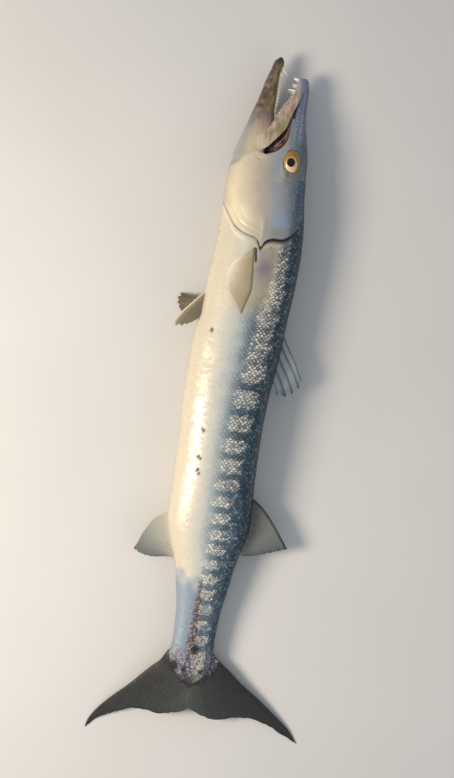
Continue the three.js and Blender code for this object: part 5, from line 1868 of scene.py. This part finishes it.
def make_eye(side, name, node, look):
    """An eye: the clear cornea bulges over the pupil, and the iris round it lies a little lower"""
    tilt = side * EYE_TILT
    rings = ellipsoid_rings((0, 0, 0), (EYE_LONG, EYE_TALL, EYE_DEEP), 0, 70, 100)
    if side < 0:
        rings = rings * np.array([1, 1, -1])

    def off(form):
        return np.hypot((rings[..., 0] - form[0]) / form[2], (rings[..., 1] - form[1]) / form[3])

    pupil, ring = off(PUPIL), off(IRIS_RING)
    outer = side * rings[..., 2] > 0
    swell = 1.8 * np.exp(-((pupil / 1.2) ** 3)) - 0.3 * bump(ring, 0.98, 0.16)
    rings[..., 2] += side * swell * outer
    ahead = np.clip(-(rings[..., 0] + 1) / 9, 0, 1)
    x = rings[..., 1] * np.cos(tilt) + rings[..., 2] * np.sin(tilt)
    z = -rings[..., 1] * np.sin(tilt) + rings[..., 2] * np.cos(tilt)
    piece = mesh_object(name, *tube(np.stack([rings[..., 0], x, z], -1) + eye_centre(side)))

    def with_ends(value):
        return np.concatenate([value.ravel(), [value[0].mean(), value[-1].mean()]])

    seen = dict(pupil=np.where(outer, pupil, 9), ring=np.where(outer, ring, 3), ahead=ahead)
    write(piece, **{key: with_ends(value) for key, value in seen.items()})
    return finish_piece(piece, "eye", look, node)


def tooth_rings(root, tip, radius, bend, rows=9, sides=12):
    """One tooth: a flattened, pointed cone that curves back a little, its root sunk in the jaw"""
    root, tip = np.array(root, float), np.array(tip, float)
    axis = tip - root
    long = np.linalg.norm(axis)
    axis /= long
    side = np.cross(axis, [0.0, 0.0, 1.0])
    side /= np.linalg.norm(side)
    other = np.cross(axis, side)
    turn = np.linspace(0, 2 * np.pi, sides, endpoint=False)
    rings = []
    reaches = []
    for k in range(rows):
        f = k / (rows - 1)
        g = -0.35 + 1.35 * f
        r = radius * (1 - np.clip(g, 0, 1) ** 1.5) ** 0.9 + 0.04
        middle = root + axis * long * g + np.array([bend * np.clip(g, 0, 1) ** 2 * long, 0, 0])
        rings.append(middle + r * np.cos(turn)[:, None] * side + 0.62 * r * np.sin(turn)[:, None] * other)
        reaches.append(np.full(sides, max(g, 0)))
    return np.array(rings), np.array(reaches)


# Large teeth: root and tip as at, x and distance off the middle, then the radius
UPPER_FANGS = [
    ((0.8, 38.4, 3.2), (-3.0, 29.4, 2.6), 1.9),
    ((9.5, 36.8, 5.0), (8.0, 28.0, 4.4), 1.6),
    ((18.6, 35.4, 7.0), (16.2, 22.5, 6.4), 2.2),
]
LOWER_TEETH = 27
UPPER_TEETH = 15


def lower_fangs(side):
    """The two teeth at the tip of the lower jaw, which stand unevenly: root, tip, radius"""
    return [
        ((-13.0, 9.4, 27 + side * 2.6), (-5.1, 20.3 - side, 27.4 + side * 3.2), 1.9),
        ((-20.0, 9.6, 26.6 + side * 1.6), (-17.5, 15.6, 26.6 + side * 1.8), 1.0),
    ]


def lower_row(side):
    """Small teeth along the lip of the lower jaw, each a little out of line"""
    teeth = []
    for i in range(LOWER_TEETH):
        at = -4 + i * 2.7 + random.normal(0, 0.25)
        rim = float(lower(at, np.array([JAW_LIP]))[0][0])
        tall = (2.4 + 1.6 * np.sin(np.pi * (i + 3) / LOWER_TEETH)) * random.uniform(0.75, 1.15)
        half = float(lower.wide(at)) - JAW_WALL * 0.55
        z = float(lower.level(at)) + side * half * 0.86
        teeth.append(tooth_rings((at, rim, z), (at + 0.6, rim + tall, z), 1.05, 0.1))
    return teeth


def upper_row(side):
    """Small teeth along the lower edge of a blade"""
    teeth = []
    for i in range(UPPER_TEETH):
        at, x = tooth_edge(0.17 + i * 0.027)
        tall = 2.1 * random.uniform(0.6, 1.1)
        z = float(upper.flank(at, x + 1.0, 1)) - float(upper.level(at)) - BLADE_THICK / 2
        z = float(upper.level(at)) + side * z
        teeth.append(tooth_rings((at, x + 0.6, z), (at - 0.5, x - tall, z), 0.9, 0.1))
    return teeth


def upper_fangs(side):
    teeth = []
    for root, tip, radius in UPPER_FANGS:
        level = float(upper.level(root[0]))
        ends = [(place_at, x, level + side * off) for place_at, x, off in (root, tip)]
        teeth.append(tooth_rings(*ends, radius, 0.08))
    return teeth


def make_teeth(look):
    """All teeth as one piece, each a closed cone sunk in its jaw"""
    teeth = []
    for side in (1, -1):
        teeth += lower_row(side)
        teeth += [tooth_rings(root, tip, radius, 0.06) for root, tip, radius in lower_fangs(side)]
        teeth += upper_row(side)
        teeth += upper_fangs(side)
    points, quads, fans, reach = [], [], [], []
    count = 0
    for rings, up in teeth:
        tooth, (sides, ends) = tube(rings)
        points.append(tooth)
        quads.append(sides + count)
        fans.append(ends + count)
        reach.append(np.concatenate([up.ravel(), [0, 1]]))
        count += len(tooth)
    piece = mesh_object("teeth", np.concatenate(points), [np.concatenate(quads), np.concatenate(fans)])
    write(piece, reach=np.concatenate(reach))
    return finish_piece(piece, "jaw", look)


def make_tongue(look):
    """The tongue, a narrow, rounded strip on the floor of the mouth with a groove along it"""
    steps = 48
    turn = np.linspace(0, 2 * np.pi, steps, endpoint=False)
    rings = []
    for at in np.arange(4.0, 96.0, 1.0):
        floor = float(lower(at, np.array([np.pi]))[0][0]) + JAW_FLOOR
        taper = np.sin(np.pi / 2 * np.clip((at - 3.5) / 44, 0, 1)) ** 0.6
        half = 0.8 + 6.0 * taper
        groove = 0.8 * bump(np.sin(turn) * half, 0, 1.4) * (np.cos(turn) > 0)
        x = floor + 1.6 + np.cos(turn) * 3.2 * taper - groove * taper
        z = float(lower.level(at)) + np.sin(turn) * half
        rings.append(np.column_stack([np.full(steps, at), x, z]))
    piece = mesh_object("tongue_skin", *tube(np.array(rings)))
    return finish_piece(piece, "mouth", look, "tongue")


# Stage

FLOOR_REACH = 4.0  # metres each way


def make_stage():
    """A plain floor of pale, matt paper, which shows soft shadows and no gloss"""
    corners = [(-1, -1), (1, -1), (1, 1), (-1, 1)]
    mesh = bpy.data.meshes.new("floor")
    mesh.from_pydata([(FLOOR_REACH * x, FLOOR_REACH * y, 0) for x, y in corners], [], [(0, 1, 2, 3)])
    floor = bpy.data.objects.new("floor", mesh)
    bpy.context.scene.collection.objects.link(floor)
    look, tree, shader = material("matt_paper", **{"Roughness": 0.9})
    grain = add(tree, "TexCoord").outputs["Object"]
    mottle = add(tree, "TexNoise", {"Vector": grain, "Scale": PAPER, "Detail": 2.0}).outputs["Fac"]
    colour = add(tree, "ValToRGB", {0: mottle}, stops=[(0.3, "#d6d5d3"), (0.7, "#dcdbd9")]).outputs[0]
    tree.links.new(colour, shader.inputs["Base Color"])
    mesh.materials.append(look)


def make_lights():
    """Soft studio light: a pale sky, a warm key on the belly's side and a weak fill on the back's"""
    world = bpy.data.worlds.new("studio")
    world.use_nodes = True
    sky = world.node_tree.nodes["Background"]
    sky.inputs["Color"].default_value = linear("#dfe6ee")
    sky.inputs["Strength"].default_value = 0.5
    bpy.context.scene.world = world
    for name, place, size, power, colour in [
        ("key", (-1.25, -0.30, 1.15), 0.7, 27.0, "#fff0dc"),
        ("fill", (1.5, -1.2, 1.3), 1.2, 5.2, "#eeecea"),
    ]:
        lamp = bpy.data.lights.new(name, "AREA")
        lamp.shape = "DISK"
        lamp.size = size
        lamp.energy = power
        lamp.color = linear(colour)[:3]
        made = bpy.data.objects.new(name, lamp)
        made.location = place
        aim = mathutils.Vector((0.0, 0.0, 0.03)) - made.location
        made.rotation_euler = aim.to_track_quat("-Z", "Y").to_euler()
        bpy.context.scene.collection.objects.link(made)
    bpy.context.scene.view_settings.view_transform = "Standard"


def make_camera():
    """The camera looks straight down on the fish, turned a little as in the photograph"""
    lens = bpy.data.cameras.new("camera")
    lens.sensor_width = SENSOR
    lens.lens = SENSOR * VIEW_HEIGHT / VIEW_TALL
    camera = bpy.data.objects.new("camera", lens)
    camera.location = (MIDLINE_X * MM, (MARK_Y - VIEW_AT) * MM, (VIEW_HEIGHT + MIDDLE_LEVEL) * MM)
    camera.rotation_euler = (0, 0, np.radians(VIEW_ROLL))
    bpy.context.scene.collection.objects.link(camera)
    bpy.context.scene.camera = camera


make_camera()
make_stage()
make_lights()
make_skin(skin_material())
scale_look = scale_material()
make_scales(scale_look)
make_nape_scales(scale_look)
make_tail_root_scales(scale_look)
make_fins()
eye_look = eye_material()
for side, node in ((1, "eye_left"), (-1, "eye_right")):
    make_eye(side, f"{node}_skin", node, eye_look)
make_teeth(tooth_material())
make_tongue(tongue_material())
